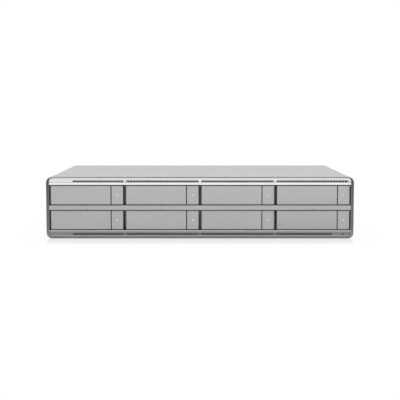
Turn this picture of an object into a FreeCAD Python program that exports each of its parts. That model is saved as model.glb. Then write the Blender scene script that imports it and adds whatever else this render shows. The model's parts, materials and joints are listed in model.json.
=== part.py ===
import FreeCAD, Part
import math
import os

# All sizes are in millimetres. X runs along the front, Y to the rear, Z up.
# The origin is the middle of the footprint, on the surface that the case stands on.

# Hard drive, 3.5 inch
drive_width = 101.6
drive_length = 147.0
drive_height = 26.1
drive_corner = 3.0
drive_lid_inset = 5.0
drive_lid_height = 0.8

# Tray that carries the drive
tray_floor = 1.0
tray_rail = 1.2
tray_pad = 0.9
tray_pad_length = 12.0
tray_bulkhead = 2.0
tray_window_margin = 14.0
drive_headroom = 2.0
slide_gap = 0.5
run_gap = 0.3

# Front of a tray: lever on the left, latch button on the right
face_recess = 2.0
face_gap = 1.4
column_gap = 4.3
lever_thickness = 5.0
lever_wall = 1.6
lever_back_gap = 1.0
lever_corner = 0.8
pivot_inset = 2.4
pivot_radius = 1.2
pivot_clearance = 0.05
pin_sides = 12
ear_radius = 2.0
ear_gap = 0.3
hook_width = 6.0
hook_height = 8.0
hook_thickness = 1.6
hook_inset = 3.0
hook_clearance = 1.2
split_gap = 1.3
button_width = 16.5
button_thickness = 3.0
button_travel = 1.5
post_size = 3.0
post_offset = 8.0
post_clearance = 0.3
post_end_gap = 0.75
pipe_radius = 1.0
pipe_sides = 8
pipe_button_gap = 0.3
pipe_seat_gap = 0.05
pipe_room = 3.0

# Rows and columns of drives
bay_columns = 4
bay_rows = 2
divider = 1.2
shelf = 1.2

# Front frame and the three bars set into it
ring_side = 4.0
ring_top = 1.0
ring_bottom = 2.9
ring_depth = 14.0
ring_edge = 0.8
ring_inner_corner = 4.5
spigot_wall = 1.0
spigot_length = 6.0
bar_recess = 0.4
bar_wall = 2.0
bar_end_gap = 0.1
middle_bar_height = 6.4
notch_width = 0.65
notch_height = 1.5
notch_depth = 1.6
lower_bar_height = 8.65
lower_lip_height = 2.35
lower_band_set_back = 1.0
lower_band_tilt = 0.8
lower_foot_height = 1.7
lower_slot_height = 2.85
lower_slot_above_foot = 0.15
lower_slot_bridge = 3.7
lower_slot_bay_less = 0.7
lower_slot_from_left = 34.3
lower_slot_from_right = 26.8
pinhole_radius = 0.9
pinhole_sides = 8
pinhole_from_end = 11.4
vent_strip_height = 10.25
vent_lower_height = 3.35
vent_lower_tilt = 0.5
vent_groove_height = 0.5
vent_groove_depth = 1.0
vent_step = 0.4
vent_upper_tilt = 0.6
vent_hole_count = 24
blank_hole_count = 7
vent_hole_width = 3.1
vent_hole_height = 2.3
vent_hole_above_groove = 0.15
vent_bay_less = 1.5

# Case
sheet = 1.2
case_corner = 8.0
seam_height = 70.0
seam_gap = 0.4
fit_gap = 0.1
cover_lip = 9.0
rear_bay_depth = 133.8
rear_recess = 4.5
panel_flange = 8.0
lip_clearance = 1.0
ear_hole_radius = 2.25
ear_hole_spacing_y = 32.0
ear_hole_spacing_z = 40.0
ear_hole_from_ring = 14.0
ear_hole_low_z = 20.0
ear_window = 10.0

# Backplane and its drive sockets
contact_gap = 0.5
socket_depth = 8.0
socket_width = 45.0
socket_height = 9.0
socket_key = 1.6
backplane_thickness = 2.0
backplane_edge_gap = 3.0
backplane_window_margin = 12.0

# Fans
fan_gap = 2.8
fan_depth = 25.0
fan_wall = 2.0
fan_side_margin = 12.0
fan_spacing = 8.0
fan_count = 2
fan_motor_radius = 16.0
fan_motor_depth = 4.0
fan_strut = 4.0
fan_tip_gap = 1.6
fan_shaft_radius = 1.5
fan_shaft_clearance = 0.05
fan_rotor_end_gap = 1.0
fan_hub_wall = 2.0
blade_count = 7
hub_sides_per_blade = 2
fan_bore_sides = 28
blade_thickness = 1.4
blade_chord = 17.0
blade_pitch = 38.0
guard_slot = 5.2
guard_web = 3.0

# Power supply and its inlet with a rocker switch
supply_width = 80.0
supply_height = 42.0
supply_wall = 1.0
supply_gap = 6.0
supply_side_gap = 2.0
supply_slots = 12
supply_slot_width = 3.0
inlet_flange = 2.0
inlet_width = 50.0
inlet_height = 27.0
inlet_body_depth = 17.0
inlet_rim = 1.8
inlet_z = 24.0
inlet_cavity_width = 24.4
inlet_cavity_height = 16.6
inlet_cavity_corner = 3.0
inlet_floor = 2.0
inlet_pin_length = 8.0
inlet_pin_width = 4.0
inlet_pin_thickness = 2.0
inlet_pin_pitch = 7.0
inlet_pin_drop = 2.0
rocker_width = 13.0
rocker_half_height = 9.5
rocker_gap = 0.4
rocker_tilt = 7.0
rocker_depth = 7.0
rocker_valley = 0.5
rocker_pin_radius = 1.0
rocker_pin_length = 1.2
rocker_pin_clearance = 0.05

# Main board with its heat sink and sockets
board_thickness = 1.6
board_height = 6.0
board_gap = 6.0
board_post_radius = 3.0
post_sides = 6
board_post_inset = 7.0
chip_size = 30.0
chip_height = 3.0
sink_size = 44.0
sink_base = 4.0
sink_fins = 9
sink_fin = 1.5
sink_fin_height = 22.0
jack_width = 16.0
jack_height = 13.6
jack_depth = 21.0
jack_mouth_width = 11.8
jack_mouth_height = 8.4
jack_mouth_depth = 13.0
jack_mouth_drop = 0.8
jack_spacing = 4.0
jack_count = 2
display_width = 17.0
display_height = 7.6
display_depth = 12.0
display_wall = 1.0
usb_width = 14.8
usb_height = 15.8
usb_depth = 17.0
usb_wall = 1.1
usb_tongue = 1.8
panel_cut_gap = 0.4
vent_slot_count = 10
vent_slot_width = 3.0
vent_slot_height = 14.0

# Sizes that follow from those above
bay_pitch = drive_width + 2 * (tray_pad + tray_rail + slide_gap) + divider
opening_height = run_gap + tray_floor + drive_height + drive_headroom
face_width = bay_pitch - column_gap
face_height = opening_height - 2 * face_gap
lever_width = face_width - button_width - split_gap
row_pitch = opening_height + middle_bar_height
case_width = bay_columns * bay_pitch + 2 * ring_side
first_opening_z = ring_bottom + lower_bar_height
openings_height = bay_rows * opening_height + (bay_rows - 1) * middle_bar_height
vent_strip_z = first_opening_z + openings_height
case_height = vent_strip_z + vent_strip_height + ring_top
tray_half = bay_pitch / 2 - divider / 2 - slide_gap

# Stations along Y, counted from the front
front_stack = face_recess + lever_thickness + lever_back_gap + tray_bulkhead + pipe_room
drive_stack = drive_length + contact_gap + socket_depth + backplane_thickness
case_depth = front_stack + drive_stack + rear_bay_depth + sheet + rear_recess
front_y = -case_depth / 2
rear_y = case_depth / 2
face_y = front_y + face_recess
bulkhead_y = face_y + lever_thickness + lever_back_gap
drive_y = bulkhead_y + tray_bulkhead + pipe_room
drive_end_y = drive_y + drive_length
backplane_y = drive_end_y + contact_gap + socket_depth
rear_bay_y = backplane_y + backplane_thickness
ring_back_y = front_y + ring_depth
strip_back_y = front_y + bar_recess + vent_lower_tilt + vent_step + vent_upper_tilt + bar_wall
panel_y = rear_y - rear_recess - sheet

# Stations along X and Z inside the case
inner_half = case_width / 2 - sheet
ring_half = case_width / 2 - ring_side
fan_size = case_height - 2 * sheet - 2 * fan_gap
fan_z = case_height / 2
fan_last_x = inner_half - fan_side_margin - fan_size / 2
fan_first_x = fan_last_x - (fan_count - 1) * (fan_size + fan_spacing)
supply_x = -case_width / 2 + case_corner + supply_side_gap
board_x = supply_x + supply_width + board_gap
board_end_x = fan_first_x - fan_size / 2 - board_gap
board_z = sheet + board_height
board_top = board_z + board_thickness

vec = FreeCAD.Vector
along_x = vec(1, 0, 0)
along_y = vec(0, 1, 0)
along_z = vec(0, 0, 1)


def box(x0, x1, y0, y1, z0, z1):
    return Part.makeBox(x1 - x0, y1 - y0, z1 - z0, vec(x0, y0, z0))


def round_y(x, z, radius, y0, y1):
    return Part.makeCylinder(radius, y1 - y0, vec(x, y0, z), along_y)


def round_x(y, z, radius, x0, x1):
    return Part.makeCylinder(radius, x1 - x0, vec(x0, y, z), along_x)


def join(shapes):
    return shapes[0].multiFuse(shapes[1:]).removeSplitter()


def rounded_block(x0, x1, z0, z1, corner, y0, y1):
    """A block along Y whose four long edges are rounded."""
    block = box(x0, x1, y0, y1, z0, z1)
    edges = [e for e in block.Edges if abs(e.tangentAt(e.FirstParameter).y) > 0.9]
    return block.makeFillet(corner, edges)


def bar_along_x(outline, x0, x1):
    """A straight bar from an outline of (y, z) points."""
    points = [vec(x0, y, z) for y, z in outline]
    face = Part.Face(Part.makePolygon(points + points[:1]))
    return face.extrude(vec(x1 - x0, 0, 0))


def plate_along_z(outline, z0, z1):
    """A flat plate from an outline of (x, y) points."""
    points = [vec(x, y, z0) for x, y in outline]
    face = Part.Face(Part.makePolygon(points + points[:1]))
    return face.extrude(vec(0, 0, z1 - z0))


def regular_outline(u, v, radius, sides):
    """Corners of a regular polygon round (u, v) with a flat side upwards, its corners at the radius."""
    half_turn = math.pi / sides
    for i in range(sides):
        angle = math.pi / 2 + (2 * i + 1) * half_turn
        yield u + radius * math.cos(angle), v + radius * math.sin(angle)


def prism_y(x, z, radius, sides, y0, y1):
    points = [vec(u, y0, v) for u, v in regular_outline(x, z, radius, sides)]
    face = Part.Face(Part.makePolygon(points + points[:1]))
    return face.extrude(vec(0, y1 - y0, 0))


def save(name, *solids):
    shape = solids[0] if len(solids) == 1 else Part.makeCompound(list(solids))
    shape.exportStep(os.path.join("parts", name + ".step"))


def column_x(column):
    return (column - (bay_columns - 1) / 2) * bay_pitch


def opening_z(row):
    """Floor of a row of bays, the top row first."""
    return first_opening_z + (bay_rows - 1 - row) * row_pitch


def face_z(row):
    return opening_z(row) + opening_height / 2


# Case shells


def case_shell(y0, y1):
    half = case_width / 2
    outer = rounded_block(-half, half, 0, case_height, case_corner, y0, y1)
    inner = rounded_block(
        -inner_half, inner_half, sheet, case_height - sheet, case_corner - sheet, y0, y1
    )
    return outer.cut(inner)


def ear_hole_places():
    first_y = ring_back_y + ear_hole_from_ring
    for y in (first_y, first_y + ear_hole_spacing_y):
        for z in (ear_hole_low_z, ear_hole_low_z + ear_hole_spacing_z):
            yield y, z


def board_post_places():
    for x in (board_x + board_post_inset, board_end_x - board_post_inset):
        yield x, rear_bay_y + board_gap + board_post_inset
        yield x, panel_y - panel_flange - board_post_inset


def base_pan():
    half = case_width / 2
    above = box(-half, half, ring_back_y, rear_y, seam_height, case_height)
    pan = case_shell(ring_back_y, rear_y).cut(above)
    posts = [
        plate_along_z(list(regular_outline(x, y, board_post_radius, post_sides)), sheet, board_z)
        for x, y in board_post_places()
    ]
    holes = [round_x(y, z, ear_hole_radius, -half, half) for y, z in ear_hole_places()]
    return join([pan] + posts).cut(holes)


def top_cover():
    half = case_width / 2
    seam_top = seam_height + seam_gap
    below = box(-half, half, ring_back_y, rear_y, 0, seam_top)
    cover = case_shell(ring_back_y, rear_y).cut(below)
    lip_y = ring_back_y + spigot_length + lip_clearance
    lip_in = inner_half - fit_gap - sheet
    lip_end = panel_y - panel_flange - lip_clearance
    lips = []
    for side in (-1, 1):
        root = sorted((side * lip_in, side * inner_half))
        hanging = sorted((side * lip_in, side * (inner_half - fit_gap)))
        lips.append(box(*root, lip_y, lip_end, seam_top, seam_top + cover_lip / 2))
        lips.append(box(*hanging, lip_y, lip_end, seam_height - cover_lip, seam_top))
    return join([cover] + lips)


def guard_slots(x):
    """Stamped finger guard in front of one fan: slots cut to the bore's circle."""
    radius = fan_size / 2 - fan_wall - guard_web
    pitch = guard_slot + guard_web
    count = int((radius - guard_slot / 2) / pitch)
    for i in range(-count, count + 1):
        z = fan_z + i * pitch
        reach = abs(z - fan_z) + guard_slot / 2
        half = math.sqrt(radius**2 - reach**2)
        low = z - guard_slot / 2
        yield box(x - half, x + half, panel_y, panel_y + sheet, low, low + guard_slot)


def rear_panel():
    half = inner_half - fit_gap
    low = sheet + fit_gap
    high = case_height - sheet - fit_gap
    corner = case_corner - sheet - fit_gap
    block = rounded_block(-half, half, low, high, corner, panel_y - panel_flange, panel_y + sheet)
    hollow = rounded_block(
        -half + sheet, half - sheet, low + sheet, high - sheet, corner - sheet,
        panel_y - panel_flange, panel_y,
    )
    cuts = []
    for x in fan_places():
        cuts += guard_slots(x)
    gap = panel_cut_gap
    cuts.append(inlet_body(gap))
    for x0, x1, z0, z1 in socket_faces():
        cuts.append(box(x0 - gap, x1 + gap, panel_y, panel_y + sheet, z0 - gap, z1 + gap))
    top = high - corner - sheet
    for i in range(vent_slot_count):
        x = supply_x + supply_width / 2 + (i - (vent_slot_count - 1) / 2) * 2 * vent_slot_width
        cuts.append(
            box(x, x + vent_slot_width, panel_y, panel_y + sheet, top - vent_slot_height, top)
        )
    return block.cut(hollow).cut(cuts)


# Front frame and bars


def ring_opening(y0, y1, gap=0.0):
    return rounded_block(
        -ring_half + gap, ring_half - gap, ring_bottom + gap, case_height - ring_top - gap,
        ring_inner_corner - gap, y0, y1,
    )


def bezel_frame():
    half = case_width / 2
    block = rounded_block(-half, half, 0, case_height, case_corner, front_y, ring_back_y)
    front_edges = [
        e for e in block.Edges if all(abs(v.Y - front_y) < 1e-6 for v in e.Vertexes)
    ]
    block = block.makeChamfer(ring_edge, front_edges)
    out = sheet + fit_gap
    inside = out + spigot_wall
    end_y = ring_back_y + spigot_length
    strips = []
    for z0 in (out, case_height - inside):
        strips.append(
            box(case_corner - half, half - case_corner, ring_back_y, end_y, z0, z0 + spigot_wall)
        )
    for x0 in (out - half, half - inside):
        strips.append(
            box(x0, x0 + spigot_wall, ring_back_y, end_y, case_corner, case_height - case_corner)
        )
    frame = block.cut(ring_opening(front_y, ring_back_y))
    ledge = box(
        case_corner - half, half - case_corner, strip_back_y + bar_end_gap, ring_back_y,
        case_height - inside, case_height - ring_top,
    )
    return join([frame, ledge] + strips)


def trimmed_to_ring(bar):
    """Cuts a bar to the frame's opening, with its rounded corners."""
    return bar.common(ring_opening(front_y, ring_back_y, bar_end_gap))


def vent_strip():
    y = front_y + bar_recess
    step_z = vent_strip_z + vent_lower_height
    groove_z = step_z + vent_groove_height
    step_y = y + vent_lower_tilt
    top_y = strip_back_y - bar_wall
    top_z = vent_strip_z + vent_strip_height
    outline = [
        (y, vent_strip_z), (step_y, step_z), (step_y + vent_groove_depth, step_z),
        (step_y + vent_groove_depth, groove_z), (step_y + vent_step, groove_z), (top_y, top_z),
        (strip_back_y, top_z), (strip_back_y, vent_strip_z + shelf),
        (ring_back_y, vent_strip_z + shelf), (ring_back_y, vent_strip_z),
    ]
    strip = trimmed_to_ring(bar_along_x(outline, -ring_half, ring_half))
    bay = bay_pitch - vent_bay_less
    pitch = bay / (vent_hole_count + 1)
    hole_z = groove_z + vent_hole_above_groove
    holes = []
    for column in range(bay_columns):
        left = (column - bay_columns / 2) * bay
        first = blank_hole_count if column == 0 else 0
        for i in range(first, vent_hole_count):
            x = left + (i + 1) * pitch - vent_hole_width / 2
            holes.append(
                box(x, x + vent_hole_width, front_y, strip_back_y, hole_z, hole_z + vent_hole_height)
            )
    return strip.cut(holes)


def middle_bar():
    y = front_y + bar_recess
    low = first_opening_z + opening_height
    high = low + middle_bar_height
    bar = box(-ring_half, ring_half, y, ring_back_y, low, high)
    hollow = box(-ring_half, ring_half, y + bar_wall, ring_back_y, low + shelf, high - shelf)
    cuts = [hollow]
    for column in range(bay_columns):
        x = column_x(column) - notch_width / 2
        for z in (low, high - notch_height):
            cuts.append(box(x, x + notch_width, y, y + notch_depth, z, z + notch_height))
    return trimmed_to_ring(bar.cut(cuts))


def lower_slot_spans():
    """Left and right end of the air slot under each bay."""
    bay = bay_pitch - lower_slot_bay_less
    for column in range(bay_columns):
        left = (column - bay_columns / 2) * bay + lower_slot_bridge / 2
        right = left + bay - lower_slot_bridge
        if column == 0:
            left = lower_slot_from_left - ring_half
        if column == bay_columns - 1:
            right = ring_half - lower_slot_from_right
        yield left, right


def lower_bar():
    low = ring_bottom
    high = low + lower_bar_height
    band_y = front_y + lower_band_set_back
    foot_y = band_y + lower_band_tilt
    foot_z = low + lower_foot_height
    lip_z = high - lower_lip_height
    back_y = foot_y + bar_wall
    outline = [
        (front_y, high), (front_y, lip_z), (band_y, lip_z), (foot_y, foot_z), (band_y, foot_z),
        (band_y, low), (back_y, low), (back_y, high - shelf), (ring_back_y, high - shelf),
        (ring_back_y, high),
    ]
    bar = trimmed_to_ring(bar_along_x(outline, -ring_half, ring_half))
    slot_z = foot_z + lower_slot_above_foot
    slots = [
        box(left, right, front_y, back_y, slot_z, slot_z + lower_slot_height)
        for left, right in lower_slot_spans()
    ]
    pinhole_z = slot_z + lower_slot_height / 2
    pinhole = prism_y(
        ring_half - pinhole_from_end, pinhole_z, pinhole_radius, pinhole_sides, front_y, back_y
    )
    return bar.cut(slots + [pinhole])


# Drive cage


def cage_plate(z):
    """One shelf across all columns."""
    half = bay_columns * bay_pitch / 2
    return box(-half, half, ring_back_y, backplane_y, z, z + shelf)


def cage_divider(x, z0, z1):
    return box(x - divider / 2, x + divider / 2, ring_back_y, backplane_y, z0, z1)


def drive_cage():
    pieces = []
    boundaries = [(i + 1 - bay_columns / 2) * bay_pitch for i in range(bay_columns - 1)]
    for row in range(bay_rows):
        floor = opening_z(row)
        pieces.append(cage_plate(floor - shelf))
        pieces.append(cage_plate(floor + opening_height))
        for x in boundaries:
            pieces.append(cage_divider(x, floor, floor + opening_height))
    foot_y = ring_back_y + spigot_length
    for x in boundaries:
        for row in range(bay_rows - 1):
            between = opening_z(row + 1) + opening_height + shelf
            pieces.append(cage_divider(x, between, opening_z(row) - shelf))
        pieces.append(
            box(x - divider / 2, x + divider / 2, foot_y, backplane_y, sheet, first_opening_z - shelf)
        )
    half = bay_columns * bay_pitch / 2
    top = vent_strip_z + shelf
    window = ear_window / 2
    windows = [
        box(-half - divider, half + divider, y - window, y + window, z - window, z + window)
        for y, z in ear_hole_places()
    ]
    for x0 in (-half - divider, half):
        wall = box(x0, x0 + divider, foot_y, backplane_y, first_opening_z - shelf, top)
        pieces.append(wall.cut(windows))
    return pieces


# Backplane


def socket(x, z):
    """One drive connector, an L-shaped block with its key slot facing the drive."""
    left = x - socket_width / 2
    body = box(left, left + socket_width, backplane_y - socket_depth, backplane_y, z, z + socket_height)
    key = box(
        left + socket_key, left + socket_width - socket_key, backplane_y - socket_depth,
        backplane_y - socket_depth / 2, z + socket_height / 2, z + socket_height - socket_key,
    )
    return body.cut(key)


def drive_sockets():
    return [
        socket(column_x(c), opening_z(r) + run_gap + tray_floor + socket_key)
        for r in range(bay_rows)
        for c in range(bay_columns)
    ]


def backplane():
    half = bay_columns * bay_pitch / 2 - backplane_edge_gap
    top = vent_strip_z + shelf
    low = first_opening_z - shelf
    board = box(-half, half, backplane_y, rear_bay_y, low, top)
    windows = []
    for row in range(bay_rows):
        z0 = opening_z(row) + run_gap + tray_floor + 2 * socket_key + socket_height
        for column in range(bay_columns):
            reach = bay_pitch / 2 - backplane_window_margin
            x = column_x(column)
            z1 = opening_z(row) + opening_height
            windows.append(box(x - reach, x + reach, backplane_y, rear_bay_y, z0, z1))
    return board.cut(windows)


# Tray, drive and light pipe of one bay


def tray(x, row):
    floor_z = opening_z(row) + run_gap
    top_z = opening_z(row) + opening_height - run_gap
    rail_top = face_z(row) - pipe_radius
    back_y = bulkhead_y + tray_bulkhead
    pieces = [
        box(x - tray_half, x + tray_half, back_y, drive_end_y, floor_z, floor_z + tray_floor),
        box(x - tray_half, x + tray_half, bulkhead_y, back_y, floor_z, top_z),
    ]
    for side in (-1, 1):
        outer = sorted((side * tray_half, side * (tray_half - tray_rail)))
        pieces.append(box(x + outer[0], x + outer[1], back_y, drive_end_y, floor_z, rail_top))
        pad = sorted((side * (tray_half - tray_rail), side * drive_width / 2))
        for y in (drive_y, drive_end_y - tray_pad_length):
            pieces.append(
                box(x + pad[0], x + pad[1], y, y + tray_pad_length, floor_z, rail_top)
            )
    pieces += pivot_ears(x, row)
    margin = tray_window_margin
    middle = (drive_y + drive_end_y) / 2
    cuts = [
        box(
            x - tray_half + margin, x + tray_half - margin, y0 + margin / 2, y1 - margin / 2,
            floor_z, floor_z + tray_floor,
        )
        for y0, y1 in ((drive_y, middle), (middle, drive_end_y))
    ]
    cuts.append(hook(x, row, hook_clearance))
    cuts += button_posts(x, row, post_clearance)
    cuts.append(pipe_neck(x, row, pipe_seat_gap))
    px, py = pivot_place(x)
    half = pivot_radius + pivot_clearance
    cuts.append(box(px - half, px + half, py - half, py + half, floor_z, top_z))
    return join(pieces).cut(cuts)


def pivot_place(x):
    return x - face_width / 2 + pivot_inset, face_y + pivot_inset


def pivot_ears(x, row):
    """The two lugs above and below the lever, punched with square holes for its pins."""
    px, py = pivot_place(x)
    low = face_z(row) - face_height / 2
    high = face_z(row) + face_height / 2
    ear_height = face_gap - run_gap - ear_gap
    ears = []
    r = ear_radius
    outline = [
        (px - r, bulkhead_y), (px - r, py - r / 2), (px - r / 2, py - r),
        (px + r / 2, py - r), (px + r, py - r / 2), (px + r, bulkhead_y),
    ]
    for z in (low - ear_gap - ear_height, high + ear_gap):
        ears.append(plate_along_z(outline, z, z + ear_height))
    return ears


def pivot_pins(x, row):
    px, py = pivot_place(x)
    low = face_z(row) - face_height / 2
    high = face_z(row) + face_height / 2
    length = face_gap - run_gap
    for z in (low - length, high):
        yield plate_along_z(list(regular_outline(px, py, pivot_radius, pin_sides)), z, z + length)


def hook(x, row, clearance=0.0):
    """The latch hook behind the lever's free end, reaching through the bulkhead."""
    right = x - face_width / 2 + lever_width - hook_inset
    z = face_z(row)
    reach = bulkhead_y + tray_bulkhead + pipe_room / 3
    return box(
        right - hook_width - clearance, right + clearance, face_y + lever_thickness - lever_wall,
        reach, z - hook_height / 2 - clearance, z + hook_height / 2 + clearance,
    )


def lever(x, row):
    left = x - face_width / 2
    right = left + lever_width
    back = face_y + lever_thickness
    low = face_z(row) - face_height / 2
    high = face_z(row) + face_height / 2
    c = lever_corner
    outline = [
        (left + c, face_y), (right, face_y), (right, back), (left + 2 * c, back),
        (left, back - 2 * c), (left, face_y + c),
    ]
    panel = plate_along_z(outline, low, high)
    pocket_left = left + 2 * pivot_inset + lever_wall
    hook_right = right - hook_inset
    tooth = hook(x, row)
    tooth = tooth.cut(
        box(
            hook_right - hook_width, hook_right - hook_thickness, face_y + lever_thickness,
            bulkhead_y + tray_bulkhead, low, high,
        )
    )
    pockets = [
        box(a, b, face_y + lever_wall, back, low + lever_wall, high - lever_wall)
        for a, b in lever_pockets(pocket_left, hook_right - hook_width - lever_wall)
    ]
    return join([panel.cut(pockets), tooth] + list(pivot_pins(x, row)))


def lever_pockets(left, right):
    """Two hollows in the lever's back with a rib between them."""
    middle = (left + right) / 2
    return (left, middle - lever_wall / 2), (middle + lever_wall / 2, right)


def button_x(x):
    return x + face_width / 2 - button_width / 2


def button_posts(x, row, clearance=0.0):
    """Guide posts above and below the light pipe, running through the bulkhead."""
    middle = button_x(x)
    half = post_size / 2 + clearance
    end = drive_y - button_travel - post_end_gap
    for offset in (-post_offset, post_offset):
        z = face_z(row) + offset
        yield box(
            middle - half, middle + half, face_y + button_thickness, end, z - half, z + half
        )


def button(x, row):
    middle = button_x(x)
    half = button_width / 2
    z = face_z(row)
    plate = box(
        middle - half, middle + half, face_y, face_y + button_thickness,
        z - face_height / 2, z + face_height / 2,
    )
    hole = prism_y(
        middle, z, pipe_radius + pipe_button_gap, pipe_sides, face_y, face_y + button_thickness
    )
    return join([plate] + list(button_posts(x, row))).cut(hole)


def pipe_neck(x, row, gap=0.0):
    """The square stretch through the bulkhead, or with a gap the hole that seats it."""
    half = pipe_radius + gap
    middle = button_x(x)
    z = face_z(row)
    back_y = bulkhead_y + tray_bulkhead
    return box(middle - half, middle + half, bulkhead_y, back_y, z - half, z + half)


def light_pipe(x, row):
    """From the lens in the button, sideways past the drive's front and along the right rail."""
    z = face_z(row)
    back_y = bulkhead_y + tray_bulkhead
    turn_y = back_y + 2 * pipe_radius
    outside = x + tray_half
    inside = x + drive_width / 2 + run_gap
    tip = prism_y(button_x(x), z, pipe_radius, pipe_sides, face_y, bulkhead_y)
    low = z - pipe_radius
    high = z + pipe_radius
    crossing = box(button_x(x) - pipe_radius, outside, back_y, turn_y, low, high)
    run = box(inside, outside, back_y, drive_end_y, low, high)
    return join([tip, pipe_neck(x, row), crossing, run])


def drive(x, row):
    low = opening_z(row) + run_gap + tray_floor
    half = drive_width / 2
    body = box(x - half, x + half, drive_y, drive_end_y, low, low + drive_height - drive_lid_height)
    upright = [e for e in body.Edges if abs(e.tangentAt(e.FirstParameter).z) > 0.9]
    body = body.makeChamfer(drive_corner, upright)
    lid = box(
        x - half + drive_lid_inset, x + half - drive_lid_inset, drive_y + drive_lid_inset,
        drive_end_y - drive_lid_inset, low, low + drive_height,
    )
    return join([body, lid])


# Fans


def fan_places():
    return [fan_first_x + i * (fan_size + fan_spacing) for i in range(fan_count)]


def fan_frame(x):
    y0 = panel_y - fan_depth
    half = fan_size / 2
    bore = half - fan_wall
    block = box(x - half, x + half, y0, panel_y, fan_z - half, fan_z + half)
    block = block.cut(prism_y(x, fan_z, bore, fan_bore_sides, y0, panel_y))
    motor_y = panel_y - fan_motor_depth
    sides = blade_count * hub_sides_per_blade
    motor = prism_y(x, fan_z, fan_motor_radius, sides, motor_y, panel_y)
    arm = fan_strut / 2
    reach = bore + fan_wall / 2
    struts = [
        box(x - reach, x + reach, motor_y, panel_y, fan_z - arm, fan_z + arm),
        box(x - arm, x + arm, motor_y, panel_y, fan_z - reach, fan_z + reach),
    ]
    shaft_y = y0 + fan_rotor_end_gap + fan_hub_wall
    shaft = round_y(x, fan_z, fan_shaft_radius, shaft_y, motor_y)
    return join([block, motor, shaft] + struts)


def fan_rotor(x):
    y0 = panel_y - fan_depth + fan_rotor_end_gap
    y1 = panel_y - fan_motor_depth - fan_rotor_end_gap
    tip = fan_size / 2 - fan_wall - fan_tip_gap
    sides = blade_count * hub_sides_per_blade
    hub = prism_y(x, fan_z, fan_motor_radius, sides, y0, y1)
    middle = (y0 + y1) / 2
    blades = []
    for i in range(blade_count):
        blade = box(
            -blade_chord / 2, blade_chord / 2, -blade_thickness / 2, blade_thickness / 2,
            fan_motor_radius - fan_hub_wall, tip,
        )
        blade.rotate(vec(0, 0, 0), along_z, blade_pitch)
        blade.rotate(vec(0, 0, 0), along_y, i * 360.0 / blade_count)
        blade.translate(vec(x, middle, fan_z))
        blades.append(blade)
    wheel = join([hub] + blades)
    bore = fan_shaft_radius + fan_shaft_clearance
    return wheel.cut(round_y(x, fan_z, bore, y0 + fan_hub_wall - fan_shaft_clearance, y1))


# Power supply


def inlet_place():
    return supply_x + supply_width / 2


def power_supply():
    x1 = supply_x + supply_width
    y0 = rear_bay_y + supply_gap
    y1 = panel_y - inlet_body_depth - supply_gap
    z1 = sheet + supply_height
    w = supply_wall
    can = box(supply_x, x1, y0, y1, sheet, z1)
    hollow = box(supply_x + w, x1 - w, y0 + w, y1 - w, sheet + w, z1 - w)
    pitch = supply_width / (supply_slots + 1)
    slots = [
        box(
            supply_x + (i + 1) * pitch - supply_slot_width / 2,
            supply_x + (i + 1) * pitch + supply_slot_width / 2,
            y0, y0 + w, sheet + supply_height / 4, sheet + supply_height * 3 / 4,
        )
        for i in range(supply_slots)
    ]
    return can.cut([hollow] + slots)


def inlet_body(gap=0.0):
    """The moulded body behind the flange, or with a gap the cut-out that it goes through."""
    half = inlet_width / 2 - inlet_rim + gap
    tall = inlet_height / 2 - inlet_rim + gap
    x = inlet_place()
    return box(
        x - half, x + half, panel_y - inlet_body_depth, panel_y + sheet,
        inlet_z - tall, inlet_z + tall,
    )


def cavity_x():
    return inlet_place() - inlet_width / 2 + inlet_rim * 2 + inlet_cavity_width / 2


def rocker_x():
    return inlet_place() + inlet_width / 2 - 2 * inlet_rim - rocker_gap - rocker_width / 2


def rocker_pivot_y():
    return panel_y + sheet - rocker_depth / 2


def inlet_face_y():
    return panel_y + sheet + inlet_flange


def power_inlet():
    x = inlet_place()
    flange_y = panel_y + sheet
    end_y = inlet_face_y()
    half = inlet_width / 2
    tall = inlet_height / 2
    flange = box(x - half, x + half, flange_y, end_y, inlet_z - tall, inlet_z + tall)
    body_y = panel_y - inlet_body_depth
    cx = cavity_x()
    wide = inlet_cavity_width / 2
    high = inlet_cavity_height / 2
    cavity = box(cx - wide, cx + wide, body_y + inlet_floor, end_y, inlet_z - high, inlet_z + high)
    top_edges = [
        e for e in cavity.Edges
        if abs(e.tangentAt(e.FirstParameter).y) > 0.9 and e.CenterOfMass.z > inlet_z
    ]
    cavity = cavity.makeChamfer(inlet_cavity_corner, top_edges)
    pins = []
    for i in (-1, 0, 1):
        px = cx + i * inlet_pin_pitch
        pz = inlet_z + (inlet_pin_drop if i == 0 else -inlet_pin_drop)
        pins.append(
            box(
                px - inlet_pin_thickness / 2, px + inlet_pin_thickness / 2,
                body_y + inlet_floor / 2, body_y + inlet_floor + inlet_pin_length,
                pz - inlet_pin_width / 2, pz + inlet_pin_width / 2,
            )
        )
    rx = rocker_x()
    side = rocker_width / 2 + rocker_gap
    reach = rocker_half_height + rocker_gap
    well = box(
        rx - side, rx + side, body_y + inlet_floor, end_y, inlet_z - reach, inlet_z + reach
    )
    seat = rocker_pin_radius + rocker_pin_clearance
    sockets = box(
        rx - side - rocker_pin_length, rx + side + rocker_pin_length,
        rocker_pivot_y() - seat, rocker_pivot_y() + seat, inlet_z - seat, inlet_z + seat,
    )
    module = join([flange, inlet_body()]).cut([cavity, well, sockets])
    return join([module] + pins)


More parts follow.
